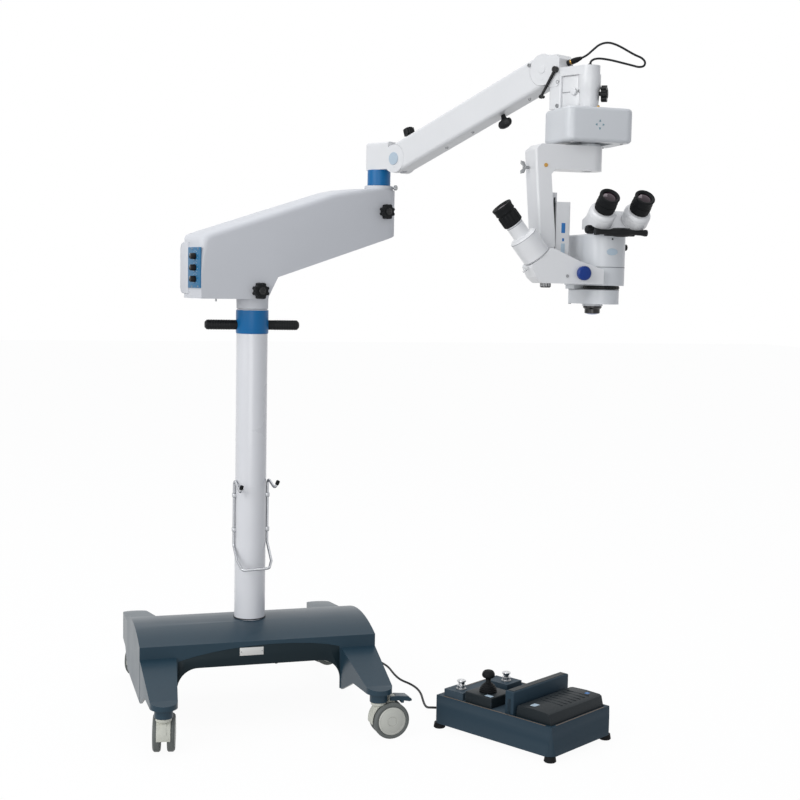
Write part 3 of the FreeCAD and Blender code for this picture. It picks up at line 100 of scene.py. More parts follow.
def surface(name, color, rough=0.4, metal=0.0, grain=900, bump=0.04, vary=0.06, coat=0.0, brushed=0.0, wear=0.0,
            shine=0.5):
    """A finish with drifting colour and gloss, fine grain in its bump and, if asked, worn edges."""
    material = bpy.data.materials.new(name)
    material.use_nodes = True
    tree = material.node_tree
    make, link = tree.nodes.new, tree.links.new
    shader = tree.nodes["Principled BSDF"]
    place = make("ShaderNodeTexCoord")
    mapping = make("ShaderNodeMapping")
    mapping.inputs["Scale"].default_value = (1, 1, 1 + brushed * 60)
    link(place.outputs["Object"], mapping.inputs["Vector"])
    drift = make("ShaderNodeTexNoise")
    drift.inputs["Scale"].default_value = 9
    drift.inputs["Detail"].default_value = 5
    link(place.outputs["Object"], drift.inputs["Vector"])
    fine = make("ShaderNodeTexNoise")
    fine.inputs["Scale"].default_value = grain
    fine.inputs["Detail"].default_value = 3
    link(mapping.outputs["Vector"], fine.inputs["Vector"])
    tint = make("ShaderNodeMix")
    tint.data_type = "RGBA"
    tint.inputs["A"].default_value = scaled(color, 1 - vary)
    tint.inputs["B"].default_value = scaled(color, 1 + vary)
    link(drift.outputs["Fac"], tint.inputs["Factor"])
    final = tint.outputs["Result"]
    if wear:
        shape = make("ShaderNodeNewGeometry")
        ramp = make("ShaderNodeMapRange")
        ramp.inputs["From Min"].default_value = 0.52
        ramp.inputs["From Max"].default_value = 0.62
        ramp.inputs["To Max"].default_value = wear
        link(shape.outputs["Pointiness"], ramp.inputs["Value"])
        edge = make("ShaderNodeMix")
        edge.data_type = "RGBA"
        edge.inputs["B"].default_value = scaled(tuple(level + 0.12 for level in color[:3]), 1.6)
        link(ramp.outputs["Result"], edge.inputs["Factor"])
        link(final, edge.inputs["A"])
        final = edge.outputs["Result"]
    link(final, shader.inputs["Base Color"])
    gloss = make("ShaderNodeMapRange")
    gloss.inputs["To Min"].default_value = max(rough - 0.06, 0.03)
    gloss.inputs["To Max"].default_value = min(rough + 0.08, 1)
    link(drift.outputs["Fac"], gloss.inputs["Value"])
    link(gloss.outputs["Result"], shader.inputs["Roughness"])
    raised = make("ShaderNodeBump")
    raised.inputs["Strength"].default_value = bump
    raised.inputs["Distance"].default_value = 0.001
    link(fine.outputs["Fac"], raised.inputs["Height"])
    link(raised.outputs["Normal"], shader.inputs["Normal"])
    shader.inputs["Metallic"].default_value = metal
    shader.inputs["Specular IOR Level"].default_value = shine
    shader.inputs["Coat Weight"].default_value = coat
    shader.inputs["Coat Roughness"].default_value = 0.12
    return material


WHITE = surface("white_enamel", rgb(222, 223, 224), 0.34, bump=0.03, vary=0.02, coat=0.25)
GREY_WHITE = surface("grey_white_enamel", rgb(205, 208, 211), 0.38, bump=0.04, vary=0.02, coat=0.2)
MOULDED = surface("moulded_cover", rgb(206, 208, 212), 0.5, grain=1500, bump=0.10, vary=0.02)
COLUMN = surface("column_enamel", rgb(216, 217, 220), 0.28, bump=0.02, vary=0.02, coat=0.35)
SLATE = surface("slate_paint", rgb(38, 60, 73), 0.30, grain=700, bump=0.05, vary=0.08, shine=0.22, wear=0.15)
# Painted shade: a darker slate for the shadowed front face under the base's brow
SLATE_PAINTED_SHADE = surface("slate_painted_shade", rgb(22, 36, 42), 0.36, grain=700, bump=0.05, vary=0.08, shine=0.15)
BLUE = surface("blue_enamel", rgb(2, 100, 158), 0.35, bump=0.03, vary=0.04, shine=0.3)
PANEL_BLUE = surface("panel_blue", rgb(36, 106, 148), 0.4, grain=1200, bump=0.05, vary=0.04)
KNOB_BLUE = surface("knob_blue", rgb(14, 52, 126), 0.32, bump=0.04, vary=0.05, shine=0.25)
PALE_BLUE = surface("pale_blue_cap", rgb(176, 193, 206), 0.35, bump=0.02, vary=0.03, coat=0.2)
BLACK = surface("black_plastic", rgb(15, 17, 19), 0.40, grain=1400, bump=0.10, vary=0.15, wear=0.06, shine=0.18)
GLOSS_BLACK = surface("gloss_black", rgb(14, 15, 17), 0.22, bump=0.03, vary=0.1, shine=0.4)
RUBBER = surface("black_rubber", rgb(15, 17, 19), 0.58, grain=1800, bump=0.15, vary=0.12, shine=0.14)
CABLE = surface("cable_sheath", rgb(24, 27, 30), 0.5, grain=1600, bump=0.08, vary=0.12, shine=0.2)
TYRE = surface("castor_tyre", rgb(92, 96, 94), 0.6, grain=1500, bump=0.12, vary=0.08, wear=0.2)
CREAM = surface("castor_cream", rgb(196, 197, 186), 0.45, grain=1200, bump=0.06, vary=0.04)
HUB_CREAM = surface("castor_hub", rgb(190, 191, 183), 0.42, grain=1200, bump=0.05, vary=0.03)
CONTROL_BLUE = surface("control_blue", rgb(31, 52, 65), 0.5, grain=1100, bump=0.16, vary=0.07, wear=0.15, shine=0.12)
CONTROL_DARK = surface("control_dark", rgb(14, 24, 29), 0.44, grain=1100, bump=0.14, vary=0.1, wear=0.10, shine=0.16)
RIM_TAN = surface("worn_rim", rgb(108, 96, 86), 0.6, grain=800, bump=0.15, vary=0.15)
STEEL = surface("bright_steel", rgb(205, 206, 208), 0.2, metal=1.0, grain=500, bump=0.03, vary=0.05, brushed=0.5)
WIRE = surface("steel_wire", rgb(178, 180, 184), 0.24, metal=1.0, grain=600, bump=0.03, vary=0.08)
SCREW = surface("screw_steel", rgb(150, 152, 154), 0.3, metal=0.9, grain=900, bump=0.05, vary=0.1)
BRASS = surface("brass", rgb(190, 150, 82), 0.28, metal=1.0, grain=700, bump=0.04, vary=0.1)
# Painted shadow for the thin lines at seams, lips and splits between parts
SEAM_SHADOW = surface("seam_shadow", rgb(118, 121, 125), 0.7, grain=900, bump=0.05, vary=0.05)
# Painted shade for gaps, holes and the strip beside a rail, where shadow falls
GAP_SHADE = surface("painted_gap_shade", rgb(44, 47, 50), 0.8, grain=900, bump=0.05, vary=0.05)
PLATE_WHITE = surface("bare_plate", rgb(214, 214, 210), 0.4, grain=900, bump=0.02, vary=0.03)
MARK_BLUE = surface("mark_blue", rgb(40, 112, 178), 0.45, grain=900, bump=0.03, vary=0.05)
MARK_PALE = surface("mark_pale", rgb(178, 198, 212), 0.45, grain=900, bump=0.03, vary=0.03)
MARK_GREY = surface("mark_grey", rgb(104, 142, 152), 0.5, grain=900, bump=0.03, vary=0.05)


def lens_glass(name, tint, sheen):
    """Coated glass: dark depth, with a coloured reflection painted into its base colour that changes with the angle.
    """
    material = surface(name, tint, 0.06, grain=300, bump=0.0, vary=0.05, coat=1.0)
    tree = material.node_tree
    shader = tree.nodes["Principled BSDF"]
    facing = tree.nodes.new("ShaderNodeLayerWeight")
    facing.inputs["Blend"].default_value = 0.35
    # Painted reflection: where the glass is seen edge-on, its base colour turns to the sheen colour
    blend = tree.nodes.new("ShaderNodeMix")
    blend.data_type = "RGBA"
    blend.inputs["A"].default_value = tint
    blend.inputs["B"].default_value = sheen
    tree.links.new(facing.outputs["Facing"], blend.inputs["Factor"])
    tree.links.new(blend.outputs["Result"], shader.inputs["Base Color"])
    shader.inputs["Coat Tint"].default_value = sheen
    return material


# Eyepiece and objective glass, each with a painted coloured reflection
GLASS = lens_glass("eyepiece_glass", rgb(14, 9, 18), rgb(120, 52, 104))
OBJECTIVE_GLASS = lens_glass("objective_glass", rgb(16, 22, 34), rgb(120, 150, 210))


# Pieces
def added(name, data):
    """A new object in the scene."""
    item = bpy.data.objects.new(name, data)
    bpy.context.scene.collection.objects.link(item)
    return item


def new_piece(name, form, material, body, place=Matrix(), sharp=35):
    """Makes the form a smooth piece that rides on a body."""
    bmesh.ops.recalc_face_normals(form, faces=form.faces)
    mesh = bpy.data.meshes.new(name)
    form.to_mesh(mesh)
    form.free()
    mesh.materials.append(material)
    mesh.shade_smooth()
    mesh.set_sharp_from_angle(angle=math.radians(sharp))
    piece = added(name, mesh)
    piece.matrix_world = place
    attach(piece, body)
    return piece


def turned(name, rows, material, body, place=Matrix(), around=64, closed=False):
    """A turned piece. A row is radius, height and, if wanted, a shape: ("hex",) or ("flute", count, depth)."""
    form = bmesh.new()
    rings = []
    for row in rows:
        radius, height = row[:2]
        if radius < 1e-7:
            rings.append([form.verts.new((0, 0, height))])
            continue
        ring = []
        for step in range(around):
            angle = 2 * math.pi * step / around
            size = radius
            if len(row) > 2 and row[2][0] == "hex":
                size = radius / math.cos((angle % (math.pi / 3)) - math.pi / 6)
            elif len(row) > 2:
                size = radius - row[2][2] * (0.5 - 0.5 * math.cos(angle * row[2][1])) ** 2
            ring.append(form.verts.new((size * math.cos(angle), size * math.sin(angle), height)))
        rings.append(ring)
    pairs = list(zip(rings, rings[1:]))
    if closed:
        pairs.append((rings[-1], rings[0]))
    for low, high in pairs:
        for step in range(around):
            follow = (step + 1) % around
            if len(low) == 1 and len(high) > 1:
                form.faces.new((low[0], high[follow], high[step]))
            elif len(high) == 1 and len(low) > 1:
                form.faces.new((low[step], low[follow], high[0]))
            elif len(low) > 1:
                form.faces.new((low[step], low[follow], high[follow], high[step]))
    return new_piece(name, form, material, body, place)


def block(name, size, material, body, place=Matrix(), soft=0.001, rounds=3):
    """A block centred on its place, with rounded edges."""
    form = bmesh.new()
    bmesh.ops.create_cube(form, size=1)
    bmesh.ops.scale(form, vec=size, verts=form.verts)
    bmesh.ops.bevel(form, geom=form.edges, offset=min(soft, min(size) * 0.45), segments=rounds, affect="EDGES",
                    profile=0.5)
    return new_piece(name, form, material, body, place)


def plate(name, corners, thick, material, body, place=Matrix(), soft=0.0004):
    """A flat plate of any outline, from height 0 to its thickness."""
    form = bmesh.new()
    face = form.faces.new([form.verts.new((x, y, 0)) for x, y in corners])
    grown = bmesh.ops.extrude_face_region(form, geom=[face])
    raised = [item for item in grown["geom"] if isinstance(item, bmesh.types.BMVert)]
    bmesh.ops.translate(form, vec=(0, 0, thick), verts=raised)
    bmesh.ops.recalc_face_normals(form, faces=form.faces)
    edges = [edge for edge in form.edges if all(v in raised for v in edge.verts)]
    if soft:
        bmesh.ops.bevel(form, geom=edges, offset=soft, segments=2, affect="EDGES", profile=0.5)
    return new_piece(name, form, material, body, place)


def screw(name, radius, body, place, material=SCREW):
    """A round screw head with a hexagon socket, its face towards +Z."""
    high = radius * 0.55
    return turned(name, [
        (radius, 0), (radius, high * 0.6), (radius * 0.86, high), (radius * 0.5, high, ("hex",)),
        (radius * 0.48, high * 0.35, ("hex",)), (0, high * 0.3)], material, body, place, around=36)


def bar_between(name, start, end, radius, material, body, place=Matrix(), around=20):
    """A round bar with soft ends from one point to another."""
    start, end = Vector(start), Vector(end)
    way = end - start
    lay = Matrix.Translation(start) @ way.to_track_quat("Z", "Y").to_matrix().to_4x4()
    long = way.length
    soft = radius * 0.3
    return turned(name, [(0, 0), (radius - soft, 0), (radius, soft), (radius, long - soft), (radius - soft, long),
                         (0, long)], material, body, place @ lay, around=around)


def soften(piece, width, angle):
    """Rounds the edges that are sharper than an angle."""
    soft = piece.modifiers.new("soft_edges", "BEVEL")
    soft.width = width
    soft.segments = 3
    soft.limit_method = "ANGLE"
    soft.angle_limit = math.radians(angle)
    soft.harden_normals = True
    soft.use_clamp_overlap = True


def spline_cord(name, points, radius, material, body):
    """A cord on one smooth spline, with the route's points as its control points."""
    curve = bpy.data.curves.new(name, "CURVE")
    curve.dimensions = "3D"
    spline = curve.splines.new("NURBS")
    spline.points.add(len(points) - 1)
    for point, spot in zip(spline.points, points):
        point.co = (*spot, 1)
    spline.order_u = 3
    spline.use_endpoint_u = True
    spline.resolution_u = 10
    curve.bevel_depth = radius
    curve.bevel_resolution = 6
    curve.use_fill_caps = True
    curve.materials.append(material)
    piece = added(name, curve)
    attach(piece, body)
    return piece


# Camera
forward = Vector((0.2924, 0.9563, 0)).normalized()
across = Vector((forward.y, -forward.x, 0))
down = math.radians(5.08)
aim = forward * math.cos(down) - Vector((0, 0, math.sin(down)))
upright = across.cross(aim)
roll = math.radians(1.1)
top_side = upright * math.cos(roll) - across * math.sin(roll)
right_side = across * math.cos(roll) + upright * math.sin(roll)
camera = added("camera", bpy.data.cameras.new("camera"))
camera.matrix_world = Matrix((
    (right_side.x, top_side.x, -aim.x, -0.648), (right_side.y, top_side.y, -aim.y, -3.430),
    (right_side.z, top_side.z, -aim.z, 1.122), (0, 0, 0, 1)))
camera.data.lens = 60.75
camera.data.sensor_width = 36
bpy.context.scene.camera = camera


# Cords
CORD_Z = 0.00305
BASE_RUN = [
    (0.120, 0.162, 0.178), (0.120, 0.190, 0.178), (0.121, 0.226, 0.154), (0.122, 0.256, 0.105), (0.125, 0.280, 0.058),
    (0.130, 0.308, 0.022), (0.146, 0.345, 0.005), (0.166, 0.388, CORD_Z), (0.192, 0.430, CORD_Z),
    (0.226, 0.450, CORD_Z)]
FLOOR_RUN = [
    (0.374, 0.452, CORD_Z), (0.406, 0.424, CORD_Z), (0.430, 0.374, CORD_Z), (0.438, 0.325, CORD_Z),
    (0.450, 0.282, CORD_Z), (0.455, 0.240, CORD_Z), (0.452, 0.196, CORD_Z), (0.450, 0.150, CORD_Z),
    (0.453, 0.108, CORD_Z), (0.468, 0.070, CORD_Z), (0.474, 0.026, CORD_Z), (0.470, -0.022, CORD_Z),
    (0.459, -0.070, CORD_Z), (0.449, -0.118, CORD_Z), (0.445, -0.152, 0.007), (0.447, -0.184, 0.017),
    tuple(CONTROL @ Vector((-0.228, -0.056, 0.024))), tuple(CONTROL @ Vector((-0.1985, -0.056, 0.024)))]


COIL_X, COIL_Y = 0.300, 0.452
SPLINE_DRAW = 0.975  # a spline runs this share as wide as its control points
STEPS_EACH_TURN = 14


def coil_points():
    """Six turns in two layers: inwards on the floor, then outwards on top."""
    points = []
    turns = ((0.0389, 0.0031), (0.0328, 0.0031), (0.0268, 0.0031), (0.0268, 0.0091), (0.0328, 0.0091),
             (0.0389, 0.0091))
    start = 205
    count = STEPS_EACH_TURN
    for index, (radius, height) in enumerate(turns):
        follow = turns[min(index + 1, 5)]
        for step in range(count):
            share = max(0.0, (step - count * 0.6) / (count * 0.4))
            size = radius + (follow[0] - radius) * share
            level = height + (follow[1] - height) * share
            angle = math.radians(start + 360 * (index + step / count))
            points.append((COIL_X + size / SPLINE_DRAW * math.cos(angle),
                           COIL_Y + size / SPLINE_DRAW * math.sin(angle), level))
    for degrees in range(start, 331, 18):
        share = min(1, (degrees - start) / 60)
        size = 0.0389 + 0.0064 * share
        drop = max(0, min(1, (degrees - 240) / 54))
        angle = math.radians(degrees)
        points.append((COIL_X + size * math.cos(angle), COIL_Y + size * math.sin(angle), 0.0091 - 0.0060 * drop))
    return points


foot_cable = spline_cord("foot_cable_cord", BASE_RUN + coil_points() + FLOOR_RUN, 0.003, CABLE, "base")
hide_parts("foot_cable", "foot_cable_coil")

SOCKET = TIP @ shift(0.052, 0.007, 0.014) @ turn("Y", 78)
ACROSS_X, ACROSS_Y = 0.000703, 0.000711  # one millimetre across the view, in the frame of the arm end
LEAD = [SOCKET @ Vector((0, 0, 0.040)), SOCKET @ Vector((0, 0, 0.054)), TIP @ Vector((HUB_REACH, 0.011, 0.039))]
for out, up in ((21, 50), (41, 55), (64, 48), (86, 36), (105, 26), (119, 21), (128, 12), (126, 2), (114, -1),
                (98, 3), (76, 8), (50, 14), (22, 18), (7, 15.5), (0, 8.5)):
    LEAD.append(TIP @ Vector((HUB_REACH + ACROSS_X * out, ACROSS_Y * out, up / 1000)))
LEAD.append(TIP @ Vector((HUB_REACH, 0, 0)))
head_cable = spline_cord("head_cable_cord", LEAD, 0.0025, CABLE, "arm_end")
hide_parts("head_cable")


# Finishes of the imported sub-parts: those that aren't named are black, and the replaced ones aren't seen
FINISH = {
    "base_cover": SLATE, "base_frame": SLATE, "column_tube": COLUMN, "column_collar": BLUE, "pedal_hanger": WIRE,
    "foot_control_box": CONTROL_BLUE, "swivel_post": BLUE, "arm_yoke": WHITE, "arm_cover": WHITE,
    "balance_spring": SCREW, "lower_link": SCREW, "arm_end_head": WHITE, "xy_housing": GREY_WHITE,
    "xy_cross_carriage": SCREW, "xy_lower_plate": GREY_WHITE, "focus_arm": WHITE, "focus_carriage": WHITE,
    "optics_body": GREY_WHITE, "objective": GLOSS_BLACK, "binocular_housing": WHITE, "assistant_tube": WHITE,
    "tilt_knob": KNOB_BLUE, "joystick_gimbal": SCREW}
SOFT_EDGES = {"base_cover": 0.010, "arm_yoke": 0.0012, "arm_cover": 0.001, "optics_body": 0.0012,
              "binocular_housing": 0.002, "focus_arm": 0.0015}
THIN_ROUNDING = 0.0008
WELD_DISTANCE = 0.00002
NO_ROUNDING = ("foot_cable", "foot_cable_coil", "head_cable", "foot_control_box")
for name, node in nodes.items():
    finish = FINISH.get(name, BLACK)
    if name.startswith("castor_wheels"):
        finish = TYRE
    elif name.startswith("castor_brake"):
        finish = SLATE
    node.data.materials.clear()
    node.data.materials.append(finish)
    for attribute in [a for a in node.data.attributes if a.name == "custom_normal"]:
        node.data.attributes.remove(attribute)
    node.data.shade_smooth()
    if name in NO_ROUNDING:
        continue
    weld = node.modifiers.new("weld", "WELD")
    weld.merge_threshold = WELD_DISTANCE
    soften(node, SOFT_EDGES.get(name, THIN_ROUNDING), EDGE_ANGLE)


# Castors: hub discs, forks, guards, collars and rivets
for corner, (x, y, swivel) in CASTORS.items():
    spot = shift(x, y, 0) @ turn("Z", swivel)
    for side, lean in ((1, -90), (-1, 90)):
        label = corner + ("_outer" if side > 0 else "_inner")
        face = spot @ shift(WHEEL_TRAIL, 0.0249 * side, WHEEL_RADIUS) @ turn("X", lean)
        turned("hub_disc_" + label, [
            (0.0346, -0.001), (0.0346, 0.0004), (0.0335, 0.0013), (0.0300, 0.0017), (0.0293, 0.0013),
            (0.0286, 0.0017), (0.0120, 0.0021), (0.0112, 0.0012), (0.0104, 0.0021), (0, 0.0023)], HUB_CREAM,
            "wheels_" + corner, face)
    fork = [(-0.0215, 0.045), (0.012, 0.029), (0.044, 0.029), (0.040, 0.055), (0.040, 0.104), (0.025, 0.104),
            (0.025, 0.0902), (-0.004, 0.0902), (-0.0215, 0.059)]
    guard = []
    for size, sweep in ((0.0495, range(188, 117, -7)), (0.0465, range(118, 189, 7))):
        guard += [(WHEEL_TRAIL + size * math.cos(math.radians(a)), WHEEL_RADIUS + size * math.sin(math.radians(a)))
                  for a in sweep]
    middle = plate("castor_fork_" + corner, fork, 0.0150, CREAM, "castor_" + corner,
                   spot @ shift(0, 0.0075, 0) @ FRONT, soft=0.0008)
    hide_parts("castor_housing_" + corner)
    plate("castor_guard_" + corner, guard, 0.0330, CREAM, "castor_" + corner, spot @ shift(0, 0.0165, 0) @ FRONT,
          soft=0.0006)
    turned("castor_collar_" + corner, [(0.0060, 0.0800), (0.0150, 0.0800), (0.0190, 0.0840), (0.0192, 0.0896),
                                       (0.0186, 0.0902), (0.0060, 0.0902)], CREAM, "castor_" + corner, spot,
                                       around=48, closed=True)
    screw("brake_rivet_" + corner, 0.0042, "brake_" + corner, spot @ shift(0.066, 0, 0.0976) @ turn("Y", 6))


# Base: painted shade on the front under the curved brow, bare plate and a ring of painted shade at the foot of the
# column
brow = [(0.205, 0.186), (0.175, 0.193), (0.13, 0.1985), (0.08, 0.2015), (0.03, 0.2025), (-0.02, 0.2005),
        (-0.07, 0.1965), (-0.12, 0.190), (-0.165, 0.1815), (-0.190, 0.1755), (-0.205, 0.171)]
arch = []
for middle_x, sweep in ((-0.156, range(180, 89, -10)), (0.156, range(90, -1, -10))):
    arch += [((middle_x + 0.052 * math.cos(math.radians(a))) * 0.999,
              0.100 + 0.052 * math.sin(math.radians(a)) + 0.0004)
             for a in sweep]
# A thin dark sheet of painted shade on the front face, from the arches up to the brow
plate("brow_painted_shade", arch + brow, 0.0022, SLATE_PAINTED_SHADE, "base", shift(0, -0.1490, 0) @ FRONT, soft=0.0007)
plate("base_plate", [(-0.030, -0.010), (0.030, -0.010), (0.030, 0.010), (-0.030, 0.010)], 0.0012, PLATE_WHITE, "base",
      shift(-0.022, -0.1510, 0.1870) @ FRONT, soft=0.0003)
for x in (-0.0265, 0.0265):
    turned(f"plate_rivet_{'left' if x < 0 else 'right'}",
           [(0.0016, 0), (0.0016, 0.0006), (0.0008, 0.0011), (0, 0.0012)], SCREW, "base",
           shift(-0.022 + x, -0.1522, 0.1870) @ FRONT, around=20)
# A thin ring of painted shade in the gap at the foot of the column
turned("column_foot_ring", [(0.0402, 0), (0.0416, 0.0003), (0.0418, 0.002), (0.0402, 0.003)], GAP_SHADE, "base",
       shift(0, 0, 0.2375), around=96, closed=True)


# Column: handle grips and hanger tips
for side, name in ((-1, "left"), (1, "right")):
    for index in range(9):
        place = shift((0.058 + index * 0.0065) * side, 0, 1.000) @ turn("Y", 90 * side)
        turned(f"grip_ring_{name}_{index}", [
            (0.0122, 0), (0.0125, 0.0001), (0.0130, 0.0012), (0.0130, 0.0024), (0.0125, 0.0035), (0.0122, 0.0036)],
            BLACK, "base", place, around=48, closed=True)
bar_between("hanger_tip_left", (-0.0330, -0.0580, 0.5925), (-0.0352, -0.0558, 0.5815), 0.0050, RUBBER, "base")
bar_between("hanger_tip_right", (0.0620, -0.0540, 0.6025), (0.0577, -0.0518, 0.5917), 0.0050, RUBBER, "base")
for height in (0.470, 0.560):
    for side in (-1, 1):
        place = shift(0.0408 * side, -0.004, height)
        block(f"hanger_clip_{'left' if side < 0 else 'right'}_{int(height * 1000)}", (0.0115, 0.0130, 0.012), WIRE,
              "base", place @ shift(0.0022 * side, 0, 0), soft=0.0025)


# Lower arm: panel marks, knob pointers, screws and the thumbscrew on the ring
PANEL = ARM @ shift(-0.172, -0.031, 1.041) @ turn("Z", -90) @ FRONT
for index, (name, height) in enumerate(PANEL_KNOBS.items()):
    for step in range(9):
        angle = math.radians(225 - step * 33.75)
        spot = shift(0.0135 * math.cos(angle), height + 0.0135 * math.sin(angle), 0.0040)
        place = PANEL @ spot @ turn("Z", math.degrees(angle))
        block(f"panel_tick_{index}_{step}", (0.0030, 0.0008, 0.0005), PLATE_WHITE, "lower_arm", place, soft=0.0002,
              rounds=1)
    block("panel_pointer_" + name, (0.0012, 0.0062, 0.0007), PLATE_WHITE, "panel_knob_" + name,
          PANEL @ shift(0, height + 0.0035, 0.0180), soft=0.0002, rounds=1)
for index, (x, y) in enumerate(((-0.017, 0.148), (0.017, 0.148), (-0.017, 0.056), (0.017, 0.056))):
    screw(f"panel_screw_{index}", 0.0022, "lower_arm", PANEL @ shift(x, y, 0.004))
thumb = shift(*POST) @ shift(0, 0, -0.005) @ turn("Z", -40)
bar_between("ring_screw_stem", (0.037, 0, 0), (0.046, 0, 0), 0.0028, SCREW, "lower_arm", thumb)
turned("ring_thumbscrew", [(0, 0), (0.0062, 0), (0.0068, 0.0006, ("flute", 24, 0.0006)),
                           (0.0068, 0.0064, ("flute", 24, 0.0006)), (0.0060, 0.007), (0, 0.007)], SCREW, "lower_arm",
                           thumb @ shift(0.046, 0, 0) @ turn("Y", 90))


def arm_shell():
    """The moulded arm: its side view, cut by two flanks that narrow towards the round end, with soft top edges."""
    side_view = [
        (-0.172, 1.067), (0.012, 1.067), (0.042, 1.123), (0.423, 1.243), (0.423, 1.361), (0.290, 1.3595),
        (0.250, 1.3555), (0.210, 1.347), (-0.142, 1.2335), (-0.152, 1.2295), (-0.1605, 1.2245), (-0.1665, 1.2185),
        (-0.1705, 1.211), (-0.172, 1.203)]
    form = bmesh.new()
    face = form.faces.new([form.verts.new((x, -ARM_HALF_WIDTH, z)) for x, z in side_view])
    grown = bmesh.ops.extrude_face_region(form, geom=[face])
    far_side = [item for item in grown["geom"] if isinstance(item, bmesh.types.BMVert)]
    bmesh.ops.translate(form, vec=(0, 2 * ARM_HALF_WIDTH, 0), verts=far_side)
    cuts = [((0.04, side * ARM_HALF_WIDTH, 0), (0.0441, side * 0.999, 0)) for side in (-1, 1)]
    cuts += [((0.3795 + 0.0435 * math.cos(a), 0.0435 * math.sin(a), 0), (math.cos(a), math.sin(a), 0))
             for a in (math.radians(t) for t in range(-80, 81, 8))]
    cuts += [((-0.148 + 0.024 * math.cos(a), 0.035 + 0.024 * math.sin(a), 0), (math.cos(a), math.sin(a), 0))
             for a in (math.radians(t) for t in range(97, 180, 9))]
    for spot, normal in cuts:
        whole = form.verts[:] + form.edges[:] + form.faces[:]
        bmesh.ops.bisect_plane(form, geom=whole, plane_co=spot, plane_no=normal, clear_outer=True)
        bmesh.ops.holes_fill(form, edges=[edge for edge in form.edges if edge.is_boundary], sides=0)
    bmesh.ops.remove_doubles(form, verts=form.verts, dist=0.00001)
    bmesh.ops.recalc_face_normals(form, faces=form.faces)
    form.normal_update()
    rims = []
    for edge in form.edges:
        if len(edge.link_faces) == 2 and edge.calc_face_angle(0) > 0.6:
            ups = [abs(face.normal.z) > 0.5 or face.normal.x < -0.5 for face in edge.link_faces]
            middle = (edge.verts[0].co + edge.verts[1].co) / 2
            if any(ups) and not all(ups) and middle.z > 1.2 and middle.x < 0.33:
                rims.append(edge)
    bmesh.ops.bevel(form, geom=rims, offset=0.018, segments=7, affect="EDGES", profile=0.5, clamp_overlap=False)
    return new_piece("arm_shell", form, MOULDED, "lower_arm", ARM, sharp=28)


# Lower arm: shell, neck, ring, flange, panel, knobs and pin
shell = arm_shell()
soften(shell, 0.003, 40)
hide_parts("lower_arm_housing")
turned("neck_skirt", [(0.0326, 1.0416), (0.0398, 1.0416), (0.0404, 1.0422), (0.0408, 1.0660), (0.0416, 1.0700),
                      (0.0416, 1.1200), (0.0326, 1.1200)], MOULDED, "lower_arm", ARM, around=112, closed=True)
turned("post_ring",
       [(0.0338, 0), (0.0385, 0), (0.0390, 0.0008), (0.0390, 0.0105), (0.0362, 0.0120), (0.0338, 0.0120)], MOULDED,
       "lower_arm", ARM @ shift(POST_REACH, 0, 1.361), around=112, closed=True)
flange = [(0.011, 1.078), (0.046, 1.078), (0.054, 1.083), (0.058, 1.092), (0.058, 1.192), (0.053, 1.202),
          (0.042, 1.206), (0.011, 1.206)]
UPRIGHT = Matrix(((0, 0, -1, 0), (1, 0, 0, 0), (0, 1, 0, 0), (0, 0, 0, 1)))
plate("arm_end_flange", flange, 0.004, MOULDED, "lower_arm", ARM @ shift(-0.1715, 0, 0) @ UPRIGHT, soft=0.002)
panel_plate = plate("panel_plate", [(-0.0580, 1.093), (0.0085, 1.093), (0.0100, 1.0945), (0.0100, 1.1915),
                                    (0.0085, 1.193), (-0.0580, 1.193)],
                    0.0042, PANEL_BLUE, "lower_arm", ARM @ shift(-0.1718, 0, 0) @ UPRIGHT, soft=0.0006)
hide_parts("control_panel")
for name, height in PANEL_KNOBS.items():
    small = turned("round_knob_" + name, [
        (0, 0), (0.0078, 0), (0.0080, 0.0010, ("flute", 16, 0.0006)), (0.0074, 0.0120, ("flute", 16, 0.0006)),
        (0.0064, 0.0134), (0, 0.0136)], BLACK, "panel_knob_" + name,
        ARM @ shift(-0.1762, -0.031, 1.041 + height) @ turn("Y", -90), around=64)
    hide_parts("panel_knob_" + name)
bar_between("arm_drain_pin", (-0.118, -0.030, 1.0600), (-0.118, -0.030, 1.0672), 0.0024, SCREW, "lower_arm", ARM)
for name, place, radius in (
        ("arm_lock", ARM @ shift(-0.012, -0.0758, 1.088) @ FRONT, 0.0095),
        ("post_lock", ARM @ shift(0.374, -0.0612, 1.303) @ FRONT, 0.0092)):
    turned(name + "_cap", [(radius, 0), (radius, 0.0018), (radius - 0.001, 0.0026), (radius * 0.55, 0.0030),
                           (radius * 0.5, 0.0022), (0, 0.0022)], GLOSS_BLACK, name + "_knob", place)


# Spring arm: pivot caps, screws and knobs
for name, side, lean in (("yoke_cap", -1, FRONT), ("yoke_cap_far", 1, BACK)):
    turned(name, [(0.0165, 0), (0.0165, 0.0016), (0.0155, 0.0024), (0.006, 0.0027), (0, 0.0027)], PALE_BLUE, "yoke",
           PIVOT @ shift(0, 0.0262 * side, 0) @ lean)
for side, lean in ((-1, 90), (1, -90)):
    turned(f"tip_cap_{'near' if side < 0 else 'far'}",
           [(0.0090, -0.0012), (0.0090, 0.0010), (0.0080, 0.0018), (0, 0.0018)], WHITE, "arm_end",
           TIP @ shift(0, 0.0262 * side, 0) @ turn("X", lean))
    screw(f"arm_side_screw_{'near' if side < 0 else 'far'}", 0.0052, "spring_arm",
          BEAM @ shift(0.498, 0.0259 * side, 0.0265) @ turn("X", lean))
for index, x in enumerate((0.165, 0.260, 0.455)):
    screw(f"arm_under_screw_{index}", 0.0040, "spring_arm", BEAM @ shift(x, 0, -BEAM_HALF_HEIGHT) @ UNDER)
bar_between("height_lock_stem", (0.052, 0, 0.0380), (0.052, 0, 0.0476), 0.0056, BLACK, "height_lock_knob", BEAM)
